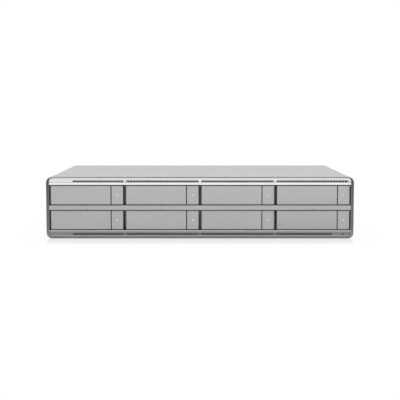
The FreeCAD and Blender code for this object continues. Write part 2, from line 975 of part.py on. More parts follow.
def power_rocker():
    """Two flats meeting in a shallow V, with round ends struck from the pivot."""
    rx = rocker_x()
    y = rocker_pivot_y()
    half = rocker_width / 2
    crown = inlet_face_y() - rocker_valley - y
    slope = math.tan(math.radians(rocker_tilt))
    reach = rocker_half_height
    outline = [
        (y - rocker_depth / 2, inlet_z - reach), (y + crown + reach * slope, inlet_z - reach),
        (y + crown, inlet_z), (y + crown + reach * slope, inlet_z + reach),
        (y - rocker_depth / 2, inlet_z + reach),
    ]
    wedge = bar_along_x(outline, rx - half, rx + half)
    rocker = wedge.common(round_x(y, inlet_z, reach, rx - half, rx + half))
    pin_reach = half + rocker_gap + rocker_pin_length - rocker_gap / 2
    pin_outline = list(regular_outline(y, inlet_z, rocker_pin_radius, pin_sides))
    pin = bar_along_x(pin_outline, rx - pin_reach, rx + pin_reach)
    rocker = join([rocker, pin])
    rocker.rotate(vec(rx, y, inlet_z), along_x, -rocker_tilt)
    return rocker


# Main board


def jack_left(i):
    return board_x + board_post_inset * 2 + i * (jack_width + jack_spacing)


def display_left():
    return jack_left(jack_count) + jack_spacing


def usb_left():
    return display_left() + display_width + 2 * jack_spacing


def socket_faces():
    """Outline (x0, x1, z0, z1) of each socket where it comes through the rear panel."""
    for i in range(jack_count):
        yield jack_left(i), jack_left(i) + jack_width, board_top, board_top + jack_height
    yield display_left(), display_left() + display_width, board_top, board_top + display_height
    yield usb_left(), usb_left() + usb_width, board_top, board_top + usb_height


def chip_place():
    return (board_x + board_end_x) / 2, (rear_bay_y + panel_y) / 2


def main_board():
    board = box(board_x, board_end_x, rear_bay_y + board_gap, panel_y - sheet, board_z, board_top)
    cx, cy = chip_place()
    half = chip_size / 2
    chip = box(cx - half, cx + half, cy - half, cy + half, board_top, board_top + chip_height)
    return join([board, chip])


def heat_sink():
    cx, cy = chip_place()
    half = sink_size / 2
    low = board_top + chip_height
    pieces = [box(cx - half, cx + half, cy - half, cy + half, low, low + sink_base)]
    step = (sink_size - sink_fin) / (sink_fins - 1)
    for i in range(sink_fins):
        x = cx - half + i * step
        pieces.append(
            box(x, x + sink_fin, cy - half, cy + half, low, low + sink_base + sink_fin_height)
        )
    return join(pieces)


def network_jacks():
    jacks = []
    end = panel_y + sheet
    for i in range(jack_count):
        x = jack_left(i)
        shell = box(x, x + jack_width, end - jack_depth, end, board_top, board_top + jack_height)
        middle = x + jack_width / 2
        half = jack_mouth_width / 2
        low = board_top + (jack_height - jack_mouth_height) / 2 - jack_mouth_drop
        mouth = box(
            middle - half, middle + half, end - jack_mouth_depth, end, low, low + jack_mouth_height
        )
        jacks.append(shell.cut(mouth))
    return jacks


def data_sockets():
    end = panel_y + sheet
    x = display_left()
    w = display_wall
    display = box(x, x + display_width, end - display_depth, end, board_top, board_top + display_height)
    mouth = box(
        x + w, x + display_width - w, end - display_depth + w, end,
        board_top + w, board_top + display_height - w,
    )
    tongue = box(
        x + 3 * w, x + display_width - 3 * w, end - display_depth, end - w,
        board_top + display_height / 2 - w / 2, board_top + display_height / 2 + w / 2,
    )
    x = usb_left()
    u = usb_wall
    stack = box(x, x + usb_width, end - usb_depth, end, board_top, board_top + usb_height)
    tall = (usb_height - 3 * u) / 2
    for low in (board_top + u, board_top + 2 * u + tall):
        hole = box(x + u, x + usb_width - u, end - usb_depth + u, end, low, low + tall)
        blade = box(
            x + 2 * u, x + usb_width - 2 * u, end - usb_depth, end - u,
            low + tall - usb_tongue - u, low + tall - u,
        )
        stack = join([stack.cut(hole), blade])
    return [join([display.cut(mouth), tongue]), stack]


def build():
    os.makedirs("parts", exist_ok=True)
    save("base_pan", base_pan())
    save("top_cover", top_cover())
    save("rear_panel", rear_panel())
    save("bezel_frame", bezel_frame())
    save("vent_strip", vent_strip())
    save("middle_bar", middle_bar())
    save("lower_bar", lower_bar())
    save("drive_cage", *drive_cage())
    save("backplane", backplane())
    save("drive_sockets", *drive_sockets())
    save("main_board", main_board())
    save("heat_sink", heat_sink())
    save("network_jacks", *network_jacks())
    save("data_sockets", *data_sockets())
    save("power_supply", power_supply())
    save("power_inlet", power_inlet())
    save("power_rocker", power_rocker())
    save("fan_frames", *[fan_frame(x) for x in fan_places()])
    for i, x in enumerate(fan_places()):
        save(f"fan_rotor_{i + 1}", fan_rotor(x))
    for row in range(bay_rows):
        for column in range(bay_columns):
            x = column_x(column)
            bay = row * bay_columns + column + 1
            save(f"tray_{bay}", tray(x, row))
            save(f"drive_{bay}", drive(x, row))
            save(f"lever_{bay}", lever(x, row))
            save(f"button_{bay}", button(x, row))
            save(f"light_pipe_{bay}", light_pipe(x, row))


build()
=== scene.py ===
import bmesh
import bpy
import json
import math
from functools import partial
from mathutils import Matrix, Vector
from mathutils.geometry import intersect_point_line


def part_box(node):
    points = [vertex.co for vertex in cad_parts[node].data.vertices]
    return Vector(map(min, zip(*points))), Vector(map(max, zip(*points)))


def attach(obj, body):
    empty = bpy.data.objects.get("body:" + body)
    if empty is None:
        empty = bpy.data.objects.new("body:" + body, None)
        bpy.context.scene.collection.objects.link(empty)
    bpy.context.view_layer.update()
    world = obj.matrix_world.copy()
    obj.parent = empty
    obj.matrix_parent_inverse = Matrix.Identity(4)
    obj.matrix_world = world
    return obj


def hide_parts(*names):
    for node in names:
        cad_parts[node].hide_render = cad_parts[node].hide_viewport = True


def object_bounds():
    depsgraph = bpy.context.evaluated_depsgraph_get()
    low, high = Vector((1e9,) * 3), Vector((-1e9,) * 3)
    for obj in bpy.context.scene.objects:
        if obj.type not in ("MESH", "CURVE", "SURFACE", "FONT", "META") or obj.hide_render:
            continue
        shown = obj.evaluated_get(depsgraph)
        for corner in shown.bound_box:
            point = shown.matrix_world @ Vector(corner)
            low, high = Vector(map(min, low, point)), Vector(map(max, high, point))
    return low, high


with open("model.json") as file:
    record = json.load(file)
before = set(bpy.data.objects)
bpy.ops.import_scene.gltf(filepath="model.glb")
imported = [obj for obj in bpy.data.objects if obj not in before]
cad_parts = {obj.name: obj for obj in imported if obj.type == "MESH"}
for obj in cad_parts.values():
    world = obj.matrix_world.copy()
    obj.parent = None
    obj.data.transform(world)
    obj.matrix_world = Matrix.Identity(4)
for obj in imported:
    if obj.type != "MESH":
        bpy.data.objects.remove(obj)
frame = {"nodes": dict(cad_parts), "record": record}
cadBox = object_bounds()
mm = 0.001  # the frame is in metres, sizes below are in millimetres
cadNodes = frame["nodes"]
behaviour = frame["record"]["behaviour"]
bodyOf = {node: body for body, members in behaviour["bodies"].items() for node in members}
openings = {mouth["name"]: [Vector(corner) for corner in mouth["box_m"]]
            for mouth in frame["record"]["physics"]["openings"]}
bays = range(1, 9)
print("frame loaded:", len(cadNodes), "nodes")


# Helpers

creaseAngle = {"sheet": 50.0, "grown": 35.0}  # edges that turn by more than this many degrees stay crisp


def linear(hexColour):
    parts = [int(hexColour[i:i + 2], 16) / 255 for i in (1, 3, 5)]
    return [c / 12.92 if c <= 0.04045 else ((c + 0.055) / 1.055) ** 2.4 for c in parts] + [1.0]


def linkInputs(tree, node, links):
    # an input that joins several takes a list
    for name, sockets in links.items():
        for socket in sockets if isinstance(sockets, list) else [sockets]:
            tree.links.new(socket, node.inputs[name])


def addNode(tree, kind, settings=None, links=None):
    # gives back the outputs of the new node
    node = tree.nodes.new(kind)
    for name, value in (settings or {}).items():
        if isinstance(name, str) and hasattr(node, name):
            setattr(node, name, value)
        else:
            node.inputs[name].default_value = value
    linkInputs(tree, node, links or {})
    return node.outputs


def addObject(name, data):
    piece = bpy.data.objects.new(name, data)
    bpy.context.scene.collection.objects.link(piece)
    return piece


def meshFrom(bm, name, finishes=()):
    mesh = bpy.data.meshes.new(name)
    bm.to_mesh(mesh)
    bm.free()
    for finish in finishes:
        mesh.materials.append(finish)
    return mesh


def smooth(mesh, kind):
    mesh.shade_smooth()
    mesh.set_sharp_from_angle(angle=math.radians(creaseAngle[kind]))
    return mesh


def stitch(bm, rows, closed=False):
    # four-sided faces between each row of points and the next; closed rows are joined end to end
    for a, b in zip(rows, rows[1:]):
        for i in range(-1 if closed else 0, len(a) - 1):
            bm.faces.new((a[i], a[i + 1], b[i + 1], b[i]))


def turnSteps(count):
    return [math.tau * i / count for i in range(count)]


def boxOf(node):
    # its two corners in millimetres
    return [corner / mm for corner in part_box(node)]


def settle(piece):
    # modifiers become plain mesh, so nothing live is left on the piece
    depsgraph = bpy.context.evaluated_depsgraph_get()
    mesh = bpy.data.meshes.new_from_object(piece.evaluated_get(depsgraph), depsgraph=depsgraph)
    piece.modifiers.clear()
    piece.data = mesh
    mesh.name = piece.name
    return piece


def thicken(piece, thickness, offset):
    # an offset of 0 grows the wall to both sides of the sheet, and -1 behind it
    wall = piece.modifiers.new("wall", "SOLIDIFY")
    wall.thickness = thickness * mm
    wall.offset = offset
    return settle(piece)


def joinBody(piece, body, replaced=()):
    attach(piece, body)
    if replaced:
        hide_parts(*replaced)


def growTree(name, floats, others):
    # a Geometry Nodes tree with one named input for each size, and the finish it ends in
    tree = bpy.data.node_groups.new(name, "GeometryNodeTree")
    tree.interface.new_socket("Geometry", in_out="INPUT", socket_type="NodeSocketGeometry")
    for size, kind in {**dict.fromkeys(floats, "Float"), **others, "Finish": "Material"}.items():
        tree.interface.new_socket(size, in_out="INPUT", socket_type="NodeSocket" + kind)
    tree.interface.new_socket("Geometry", in_out="OUTPUT", socket_type="NodeSocketGeometry")
    return tree, addNode(tree, "NodeGroupInput")


def endTree(tree, inputs, geometry):
    whole = addNode(tree, "GeometryNodeRealizeInstances", {}, {"Geometry": geometry})
    coated = addNode(
        tree, "GeometryNodeSetMaterial", {}, {"Geometry": whole[0], "Material": inputs["Finish"]})
    addNode(tree, "NodeGroupOutput", {}, {0: coated[0]})
    return tree


def growPiece(name, tree, base, values):
    piece = addObject(name, base)
    growth = piece.modifiers.new(tree.name, "NODES")
    growth.node_group = tree
    for socket in tree.interface.items_tree:
        if socket.in_out == "INPUT" and socket.name in values:
            growth[socket.identifier] = values[socket.name]
    smooth(settle(piece).data, "grown")
    return piece


def placesMesh(name, places):
    # one point for each place, with the way that it faces
    mesh = bpy.data.meshes.new(name + "_places")
    mesh.from_pydata([Vector(spot) * mm for spot, way in places], [], [])
    facing = mesh.attributes.new("facing", "FLOAT_VECTOR", "POINT")
    for item, (spot, way) in zip(facing.data, places):
        item.vector = way
    return mesh


# Finishes

noiseLook = {"grainDetail": 3.0, "cloudDetail": 2.0}
noiseSpan = {"From Min": 0.3, "From Max": 0.7}  # nearly all of the noise lies between these


def newFinish(name, look):
    # values that have the name of a socket of the shader are set on it
    material = bpy.data.materials.new(name)
    material.use_nodes = True
    tree = material.node_tree
    shader = tree.nodes["Principled BSDF"]
    for key, value in look.items():
        if key in shader.inputs:
            shader.inputs[key].default_value = value
    coords = addNode(tree, "ShaderNodeTexCoord")["Object"]
    return material, tree, shader, coords


def mixOf(shades):
    return {"data_type": "RGBA", 6: linear(shades[0]), 7: linear(shades[1])}


def grainFinish(name, look):
    # two close shades in clouds, and a grain that drives fleck, roughness and bump
    material, tree, shader, coords = newFinish(name, look)
    add = partial(addNode, tree)
    place = add("ShaderNodeMapping", {"Scale": look.get("stretch", (1, 1, 1))}, {"Vector": coords})
    grain = add(
        "ShaderNodeTexNoise", {"Scale": 1 / (look["grain"] * mm), "Detail": noiseLook["grainDetail"]},
        {"Vector": place["Vector"]})["Fac"]
    cloud = add(
        "ShaderNodeTexNoise", {"Scale": 1 / (look["cloud"] * mm), "Detail": noiseLook["cloudDetail"]},
        {"Vector": coords})["Fac"]
    tone = add("ShaderNodeMix", mixOf(look["shades"]), {0: cloud})[2]
    for (low, high), colour in look.get("rise", ()):
        # between the two heights the tone goes over to this colour: painted shading by height
        above = add("ShaderNodeSeparateXYZ", {}, {"Vector": coords})["Z"]
        share = add(
            "ShaderNodeMapRange", {"From Min": low * mm, "From Max": high * mm}, {"Value": above})["Result"]
        tone = add("ShaderNodeMix", {"data_type": "RGBA", 7: linear(colour)}, {0: share, 6: tone})[2]
    fleck, rough = [
        add("ShaderNodeMapRange", {**noiseSpan, "To Min": low, "To Max": high}, {"Value": grain})
        for low, high in ((1 - look["fleck"], 1 + look["fleck"]), look["rough"])]
    tint = add("ShaderNodeVectorMath", {"operation": "SCALE"}, {0: tone, "Scale": fleck["Result"]})
    strength, relief = look["bump"]
    bump = add("ShaderNodeBump", {"Strength": strength, "Distance": relief * mm}, {"Height": grain})
    linkInputs(tree, shader, {"Base Color": tint[0], "Roughness": rough["Result"], "Normal": bump[0]})
    return material


# polyester powder baked on sheet steel: an even, faintly pebbled skin with a soft sheen
# (pebbles of 0.5 mm are drawn at 1.8 mm, so that they show)
powderCoatLightGrey = grainFinish("powderCoatLightGrey", {
    "shades": ("#b7bab9", "#bdc0bf"), "grain": 1.8, "cloud": 90, "fleck": 0.012,
    "rough": (0.46, 0.56), "bump": (0.12, 0.04), "IOR": 1.5})

# dark metallic lacquer on the cast front frame: its flake lifts the edges towards the light, under a clear
# coat; its colour is painted shading by height, paler at the foot and darkest at the top corners
flakeLacquerDark = grainFinish("flakeLacquerDark", {
    "shades": ("#666766", "#6a6b6a"), "grain": 0.8, "cloud": 50, "fleck": 0.02,
    "rise": [((1.5, 2.5), "#848584"), ((8, 14), "#6b6c6c"), ((14, 50), "#626363"), ((50, 84), "#505151")],
    "rough": (0.30, 0.38), "bump": (0.05, 0.02),
    "Metallic": 0.75, "Coat Weight": 0.5, "Coat Roughness": 0.18})

# silver lacquer on an extruded strip: pale, smooth, with a fine metal flake
silverLacquer = grainFinish("silverLacquer", {
    "shades": ("#e9ecea", "#eef0ef"), "grain": 1.2, "cloud": 40, "fleck": 0.012,
    "rough": (0.32, 0.40), "bump": (0.05, 0.02), "Metallic": 0.6})

# edges and facets cut bright after painting: almost white, with faint cutter lines along them; at the foot
# of the vent strip it turns dark grey, a painted shade along its bottom edge
brightCutAluminium = grainFinish("brightCutAluminium", {
    "shades": ("#f0f2f1", "#f5f6f5"), "grain": 0.5, "cloud": 60, "fleck": 0.01, "stretch": (0.02, 1, 1),
    "rise": [((70.0, 75.0), "#8e908f"), ((76.9, 77.2), "#f3f4f3")],
    "rough": (0.24, 0.32), "bump": (0.04, 0.01), "Metallic": 1.0})

# bead-blasted and clear-anodised aluminium: matt silver, with a fine even sparkle
# (beads leave pits of 0.1 mm, drawn at 0.9 mm so that they show); its colour is painted shading by height,
# paler towards the top and darker towards the bottom, with the foot under the air slots painted bright to
# lift the shadow of the lip above it
blasting = {"grain": 0.9, "cloud": 70, "fleck": 0.02, "bump": (0.10, 0.03), "Metallic": 0.5}
beadBlastedSilver = grainFinish("beadBlastedSilver", {
    **blasting, "shades": ("#c8cac9", "#cccecd"), "rough": (0.42, 0.54),
    "rise": [((5, 10), "#b0b2b1"), ((12, 78), "#bbbdbc")]})

# the lower bar has the same blasting in painted lit and shaded copies: the band is painted darker for its
# shade and paler just under the lip, against the lip's shadow, and the lip paler for the light it catches;
# the pale copy is also the painted shade in the vent strip's groove and channels
beadBlastedGrey = grainFinish("beadBlastedGrey", {
    **blasting, "shades": ("#868786", "#8c8d8c"), "rough": (0.42, 0.54), "rise": [((7.6, 8.6), "#969796")]})
beadBlastedPale = grainFinish("beadBlastedPale", {
    **blasting, "shades": ("#9c9d9c", "#a2a3a2"), "rough": (0.40, 0.52)})

# black dip paint on the pressed trays: thin, semi-matt, slightly rubbed
dipPaintBlack = grainFinish("dipPaintBlack", {
    "shades": ("#363737", "#424343"), "grain": 2.2, "cloud": 25, "fleck": 0.08,
    "rough": (0.42, 0.62), "bump": (0.10, 0.03), "IOR": 1.5})

# die-cast drive body: grey metal with a coarse cast skin
dieCastAluminium = grainFinish("dieCastAluminium", {
    "shades": ("#85888a", "#94979a"), "grain": 1.5, "cloud": 20, "fleck": 0.05,
    "rough": (0.38, 0.56), "bump": (0.25, 0.06), "Metallic": 0.9})

# stamped stainless lid of the drive: smoother and brighter, rolled along its length
rolledStainless = grainFinish("rolledStainless", {
    "shades": ("#b4b6b8", "#c2c4c5"), "grain": 0.7, "cloud": 45, "fleck": 0.03, "stretch": (1, 0.04, 1),
    "rough": (0.26, 0.38), "bump": (0.05, 0.01), "Metallic": 1.0})

# moulded black plastics of the fans, the sockets and the inlet, with a spark-eroded grain
mouldedFanBlack = grainFinish("mouldedFanBlack", {
    "shades": ("#191a1b", "#202122"), "grain": 1.0, "cloud": 30, "fleck": 0.05,
    "rough": (0.40, 0.55), "bump": (0.15, 0.04), "IOR": 1.5})
mouldedNylonBlack = grainFinish("mouldedNylonBlack", {
    "shades": ("#141516", "#1b1c1d"), "grain": 0.8, "cloud": 20, "fleck": 0.04,
    "rough": (0.34, 0.48), "bump": (0.12, 0.03), "IOR": 1.53})

# the rocker is the same nylon from a polished mould, so it shines
polishedNylonBlack = grainFinish("polishedNylonBlack", {
    "shades": ("#101112", "#151617"), "grain": 2.5, "cloud": 15, "fleck": 0.03,
    "rough": (0.16, 0.24), "bump": (0.03, 0.01), "IOR": 1.53})

# white pad print of the switch marks: flat ink with a slightly uneven lay-down
padPrintWhite = grainFinish("padPrintWhite", {
    "shades": ("#dededc", "#eeeeec"), "grain": 0.6, "cloud": 3, "fleck": 0.03,
    "rough": (0.5, 0.6), "bump": (0.05, 0.01)})

# nickel plate on stamped sockets and screws: bright, a little warm, with fine die marks
nickelPlate = grainFinish("nickelPlate", {
    "shades": ("#b3b0aa", "#c4c1bb"), "grain": 0.6, "cloud": 12, "fleck": 0.04,
    "rough": (0.22, 0.34), "bump": (0.05, 0.01), "Metallic": 1.0})

# gold flash on contact springs: yellow, smooth and bright
goldFlash = grainFinish("goldFlash", {
    "shades": ("#c99a45", "#dcb060"), "grain": 0.4, "cloud": 5, "fleck": 0.04,
    "rough": (0.2, 0.3), "bump": (0.03, 0.01), "Metallic": 1.0})

# black zinc on the case and fan screws: dark grey metal with a dull shine
blackZinc = grainFinish("blackZinc", {
    "shades": ("#3a3b3b", "#484949"), "grain": 0.5, "cloud": 8, "fleck": 0.06,
    "rough": (0.30, 0.42), "bump": (0.06, 0.01), "Metallic": 1.0})

# extruded aluminium of the heat sink and the capacitors: die lines run along the fins
extrudedAluminium = grainFinish("extrudedAluminium", {
    "shades": ("#9fa2a4", "#b0b2b4"), "grain": 0.8, "cloud": 30, "fleck": 0.05, "stretch": (1, 0.03, 1),
    "rough": (0.3, 0.45), "bump": (0.1, 0.02), "Metallic": 1.0})

# clear acrylic light guide: moulded, smooth, slightly milky
mouldedAcrylic = grainFinish("mouldedAcrylic", {
    "shades": ("#e8ecec", "#f4f7f7"), "grain": 1.5, "cloud": 10, "fleck": 0.01, "rough": (0.08, 0.16),
    "bump": (0.02, 0.01), "IOR": 1.49, "Transmission Weight": 0.85})

# its frosted end, lit from behind by a white diode
litLens = grainFinish("litLens", {
    "shades": ("#b4b6b6", "#bcbebe"), "grain": 0.4, "cloud": 2, "fleck": 0.02,
    "rough": (0.4, 0.5), "bump": (0.05, 0.01),
    "IOR": 1.49, "Emission Color": linear("#f4f6f6"), "Emission Strength": 0.6})

# open-cell foam behind the air slots and the vent holes, sheets whose colour is the painted shade behind
# them:
# dull, pitted with cells (cells of 0.6 mm are drawn at 1.1 mm, so that they show)
foamCells = {"grain": 1.1, "cloud": 6, "fleck": 0.3, "rough": (0.8, 0.95), "bump": (0.6, 0.4)}
shadeFoamGrey = grainFinish("shadeFoamGrey", {
    **foamCells, "shades": ("#626363", "#747575"), "IOR": 1.4})
shadeFoamBlack = grainFinish("shadeFoamBlack", {
    **foamCells, "shades": ("#0e0f0f", "#181919"), "IOR": 1.4, "Specular IOR Level": 0.2})

# matt black paint in the vent holes, the slot above them and the pinhole, a painted shade: it soaks up
# light, so that the holes read as a dotted line
shadePaintBlack = grainFinish("shadePaintBlack", {
    "shades": ("#0c0d0d", "#131414"), "grain": 0.6, "cloud": 5, "fleck": 0.05,
    "rough": (0.8, 0.95), "bump": (0.1, 0.02), "IOR": 1.5, "Specular IOR Level": 0.15})


def zincSteel():
    # hot-dip zinc on the cage: dull metal with crystal flowers about 9 mm across
    spangle = {"flower": 9.0, "shades": ("#8d9193", "#a9acae"), "rough": (0.34, 0.5), "Metallic": 1.0}
    material, tree, shader, coords = newFinish("zincDippedSteel", spangle)
    add = partial(addNode, tree)
    cells = add("ShaderNodeTexVoronoi", {"Scale": 1 / (spangle["flower"] * mm)}, {"Vector": coords})
    value = add("ShaderNodeSeparateColor", {}, {"Color": cells["Color"]})[0]
    tone = add("ShaderNodeMix", mixOf(spangle["shades"]), {0: value})
    low, high = spangle["rough"]
    rough = add("ShaderNodeMapRange", {"To Min": low, "To Max": high}, {"Value": value})
    linkInputs(tree, shader, {"Base Color": tone[2], "Roughness": rough["Result"]})
    return material


def solderMaskGreen():
    # glass-fibre board under green mask: copper tracks show as a paler green relief
    # (tracks 0.8 mm apart are drawn at 1.6 mm, so that they show)
    mask = {"track": 1.6, "tracksInRow": 8, "gap": 0.06, "between": (0.3, 0.3, 0.3, 1),
            "shades": ("#0f3d2a", "#1d5a3f"), "bump": (0.3, 0.05), "Roughness": 0.35, "Coat Weight": 0.3}
    material, tree, shader, coords = newFinish("solderMaskGreen", mask)
    add = partial(addNode, tree)
    tracks = add(
        "ShaderNodeTexBrick",
        {"Scale": 1 / (mask["tracksInRow"] * mask["track"] * mm), "Mortar Size": mask["gap"],
         "Color1": (0, 0, 0, 1), "Color2": mask["between"], "Mortar": (1, 1, 1, 1)},
        {"Vector": coords})["Color"]
    tone = add("ShaderNodeMix", mixOf(mask["shades"]), {0: tracks})
    strength, relief = mask["bump"]
    bump = add("ShaderNodeBump", {"Strength": strength, "Distance": relief * mm}, {"Height": tracks})
    linkInputs(tree, shader, {"Base Color": tone[2], "Normal": bump[0]})
    return material


zincDippedSteel = zincSteel()
boardGreen = solderMaskGreen()
print("finishes ready:", len(bpy.data.materials))


# Sheet, cast and moulded pieces: each keeps its solid's form and gets its edges eased

# corner, flat, slant and merge are angles in degrees, and room counts in easings
easeLook = {"corner": 40.0, "flat": 1.0, "slant": 15.0, "merge": 0.5, "room": 2.2, "weld": 0.004, "steps": 2}


def roomBeside(edge, room):
    # no other edge of its two faces runs closer than the room that the easing needs
    a, b = (v.co for v in edge.verts)
    for face in edge.link_faces:
        for other in face.edges:
            c, d = (v.co for v in other.verts)
            apart = any(max(c[i], d[i]) < min(a[i], b[i]) - room or min(c[i], d[i]) > max(a[i], b[i]) + room
                        for i in range(3))
            if apart or set(other.verts) & set(edge.verts):
                continue
            for point, start, end in ((a, c, d), (b, c, d), (c, a, b), (d, a, b)):
                foot, share = intersect_point_line(point, start, end)
                foot = start if share < 0 else end if share > 1 else foot
                if (foot - point).length < room:
                    return False
    return True


def easyEdges(bm, easing):
    # sharp edges that can be rounded: none beside a short step, a touching solid or a sliver of a face
    room = easeLook["room"] * easing * mm
    corner, flat, slant = (math.radians(easeLook[key]) for key in ("corner", "flat", "slant"))
    tight = {v for e in bm.edges if e.calc_length() < room or not e.is_manifold for v in e.verts}
    tight |= {v for v in bm.verts if not v.is_manifold}

    def eased(edge):
        if edge.calc_face_angle(0) < corner or tight.intersection(edge.verts):
            return False
        for v in edge.verts:
            way = edge.other_vert(v).co - v.co
            seams = [e for e in v.link_edges if e.calc_face_angle(0) < flat]
            if any(way.angle(e.other_vert(v).co - v.co) < slant for e in seams):
                return False
        return roomBeside(edge, room)

    return [edge for edge in bm.edges if eased(edge)]


def easedMesh(node, easing, finishes, cutters, closed):
    # the node's own mesh, welded, cut where something is sunk into it, and with its edges rounded
    bm = bmesh.new()
    bm.from_mesh(cadNodes[node].data)
    bmesh.ops.remove_doubles(bm, verts=bm.verts, dist=easeLook["weld"] * mm)
    if closed:
        # plain holes are closed first, where finer ones are cut
        bmesh.ops.delete(bm, geom=[face for face in bm.faces if closed(face)], context="FACES")
        bmesh.ops.holes_fill(bm, edges=[edge for edge in bm.edges if edge.is_boundary], sides=4)
    merge = math.radians(easeLook["merge"])
    bmesh.ops.dissolve_limit(bm, angle_limit=merge, verts=bm.verts, edges=bm.edges)
    if cutters:
        blank = addObject(node + "_blank", meshFrom(bm, node + "_blank", finishes))
        for cutter in cutters:
            sink = blank.modifiers.new(cutter.name, "BOOLEAN")
            sink.operation = "DIFFERENCE"
            sink.object = cutter
            sink.solver = "EXACT"
            sink.material_mode = "TRANSFER"
        bm = bmesh.new()
        bm.from_mesh(settle(blank).data)
        for done in (blank, *cutters):
            bpy.data.objects.remove(done)
    bmesh.ops.bevel(
        bm, geom=easyEdges(bm, easing), offset=easing * mm, offset_type="OFFSET",
        segments=easeLook["steps"], profile=0.5, affect="EDGES", clamp_overlap=False)
    return smooth(meshFrom(bm, node + "_eased", finishes), "sheet")


def dressNode(node, easing, finishes, choose=None, cutters=(), closed=None):
    mesh = easedMesh(node, easing, finishes, cutters, closed)
    for face in mesh.polygons:
        # a face that a cutter left has its finish already
        if choose and not face.material_index:
            face.material_index = choose(face)
    piece = addObject(node + "_dressed", mesh)
    piece.modifiers.new("flatFaces", "WEIGHTED_NORMAL").keep_sharp = True
    joinBody(settle(piece), bodyOf[node], [node])


# the heads are a little smaller than the countersinks, and sit a little below the wall
coverScrews = {"along": (-90, 10, 110), "level": 65.5, "foot": 1.5, "top": 2.9, "height": 1.2, "crown": 0.0,
               "recess": (0.8, 3.2, 0.7), "seed": 3, "below": 0.06, "rim": 0.12, "over": 0.2, "sides": 32}


def countersinks():
    # one cone for each screw that holds the cover's lip through the side walls, longer at both ends
    look = coverScrews
    reach = look["height"] + 2 * look["over"]
    widen = look["over"] * (look["top"] - look["foot"]) / look["height"]
    slide = Matrix.Translation((0, 0, (look["over"] - reach / 2) * mm))
    low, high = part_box("base_pan")
    bm = bmesh.new()
    for x, side in ((low.x, -1), (high.x, 1)):
        turn = Matrix.Rotation(math.radians(90 * side), 4, "Y")
        for y in look["along"]:
            spot = Matrix.Translation((x, y * mm, look["level"] * mm))
            bmesh.ops.create_cone(
                bm, cap_ends=True, segments=look["sides"], depth=reach * mm,
                radius1=(look["foot"] - widen + look["rim"]) * mm,
                radius2=(look["top"] + widen + look["rim"]) * mm, matrix=spot @ turn @ slide)
    return addObject("countersinks", meshFrom(bm, "countersinks"))


square = 0.9  # a face stands square to an axis when this much of its normal lies along it
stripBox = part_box("vent_strip")
# heights are above the strip's foot and depths behind its front; ends are along the frame's x
stripLook = {"lowerFacet": 3.4, "faceDepth": 0.9, "forward": 0.5, "groove": (3.34, 3.86),
             "grooveDepth": 0.65, "endRoom": 2.0, "channel": (4.05, 6.5), "floor": 1.35, "rib": 3.9,
             "ends": (-182.2, 212.3), "lean": 0.7, "slot": (6.0, 6.45), "slotFloor": 2.6, "slotInset": 0.2,
             "hole": (4.08, 6.2), "holeWidth": 2.6, "holeReach": 8.0}
ventLimit = stripBox[1].x - stripLook["endRoom"] * mm


def stripFace(face):
    # the lower facet is cut bright, which also paints in the brighter light that it catches, and the groove
    # above it is painted grey, a painted shade
    depth, height = (face.center - stripBox[0]).yz / mm
    low, high = stripLook["groove"]
    if low < height < high and depth > stripLook["grooveDepth"]:
        return 2
    inFront = depth < stripLook["faceDepth"] and face.normal.y < -stripLook["forward"]
    return int(inFront and height < stripLook["lowerFacet"])


def holeWalls():
    # the side walls of the solid's vent holes: where they stand along the strip, their foot and their top
    mesh = cadNodes["vent_strip"].data
    walls = [f for f in mesh.polygons if abs(f.normal.x) > square and abs(f.center.x) < ventLimit]
    points = [mesh.vertices[i].co for f in walls for i in f.vertices]
    return sorted({round(p.x, 6) for p in points}), min(p.z for p in points), max(p.z for p in points)


ventSides, ventFoot, ventTop = holeWalls()


def plainVent(face):
    # walls of the solid's vent holes
    middle = face.calc_center_median()
    if abs(face.normal.x) > square:
        return abs(middle.x) < ventLimit
    gap = min(abs(middle.z - ventFoot), abs(middle.z - ventTop))
    return abs(face.normal.z) > square and gap < easeLook["weld"] * mm


def blockCutter(name, blocks, finish):
    # blocks with the finish for the faces that they leave; their ends may lean out towards the foot
    front, foot = stripBox[0].y / mm, stripBox[0].z / mm
    bm = bmesh.new()
    for (x0, x1), (z0, z1), depth, (left, right) in blocks:
        low = Vector((x0, front - depth, foot + z0)) * mm
        high = Vector((x1, front + depth, foot + z1)) * mm
        middle = (low + high) / 2
        place = Matrix.Translation(middle) @ Matrix.Diagonal((high - low).to_4d())
        for v in bmesh.ops.create_cube(bm, size=1.0, matrix=place)["verts"]:
            if v.co.z < middle.z:
                v.co.x += (right if v.co.x > middle.x else -left) * mm
    return addObject(name, meshFrom(bm, name, [finish]))


def ventCutters():
    # a shallow channel over each column of bays, a dark slot along its top, and the row of square holes; the
    # channel floor is painted grey, and the slot and the hole walls black, as painted shade
    look = stripLook
    half = look["rib"] / 2
    ribs = [(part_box(f"tray_{k}")[1].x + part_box(f"tray_{k + 1}")[0].x) / 2 / mm for k in (1, 2, 3)]
    starts = [look["ends"][0]] + [x + half for x in ribs]
    ends = [x - half for x in ribs] + [look["ends"][1]]
    runs = list(zip(starts, ends))
    leans = [(look["lean"], 0), (0, 0), (0, 0), (0, look["lean"])]
    channels = [(run, look["channel"], look["floor"], lean) for run, lean in zip(runs, leans)]
    inset = look["slotInset"]
    slots = [((x0 + inset, x1 - inset), look["slot"], look["slotFloor"], (0, 0)) for x0, x1 in runs]
    middles = [(a + b) / 2 / mm for a, b in zip(ventSides[::2], ventSides[1::2])]
    wide = look["holeWidth"] / 2
    holes = [((x - wide, x + wide), look["hole"], look["holeReach"], (0, 0)) for x in middles]
    return [blockCutter("ventChannels", channels, beadBlastedPale),
            blockCutter("ventSlots", slots, shadePaintBlack),
            blockCutter("ventHoles", holes, shadePaintBlack)]


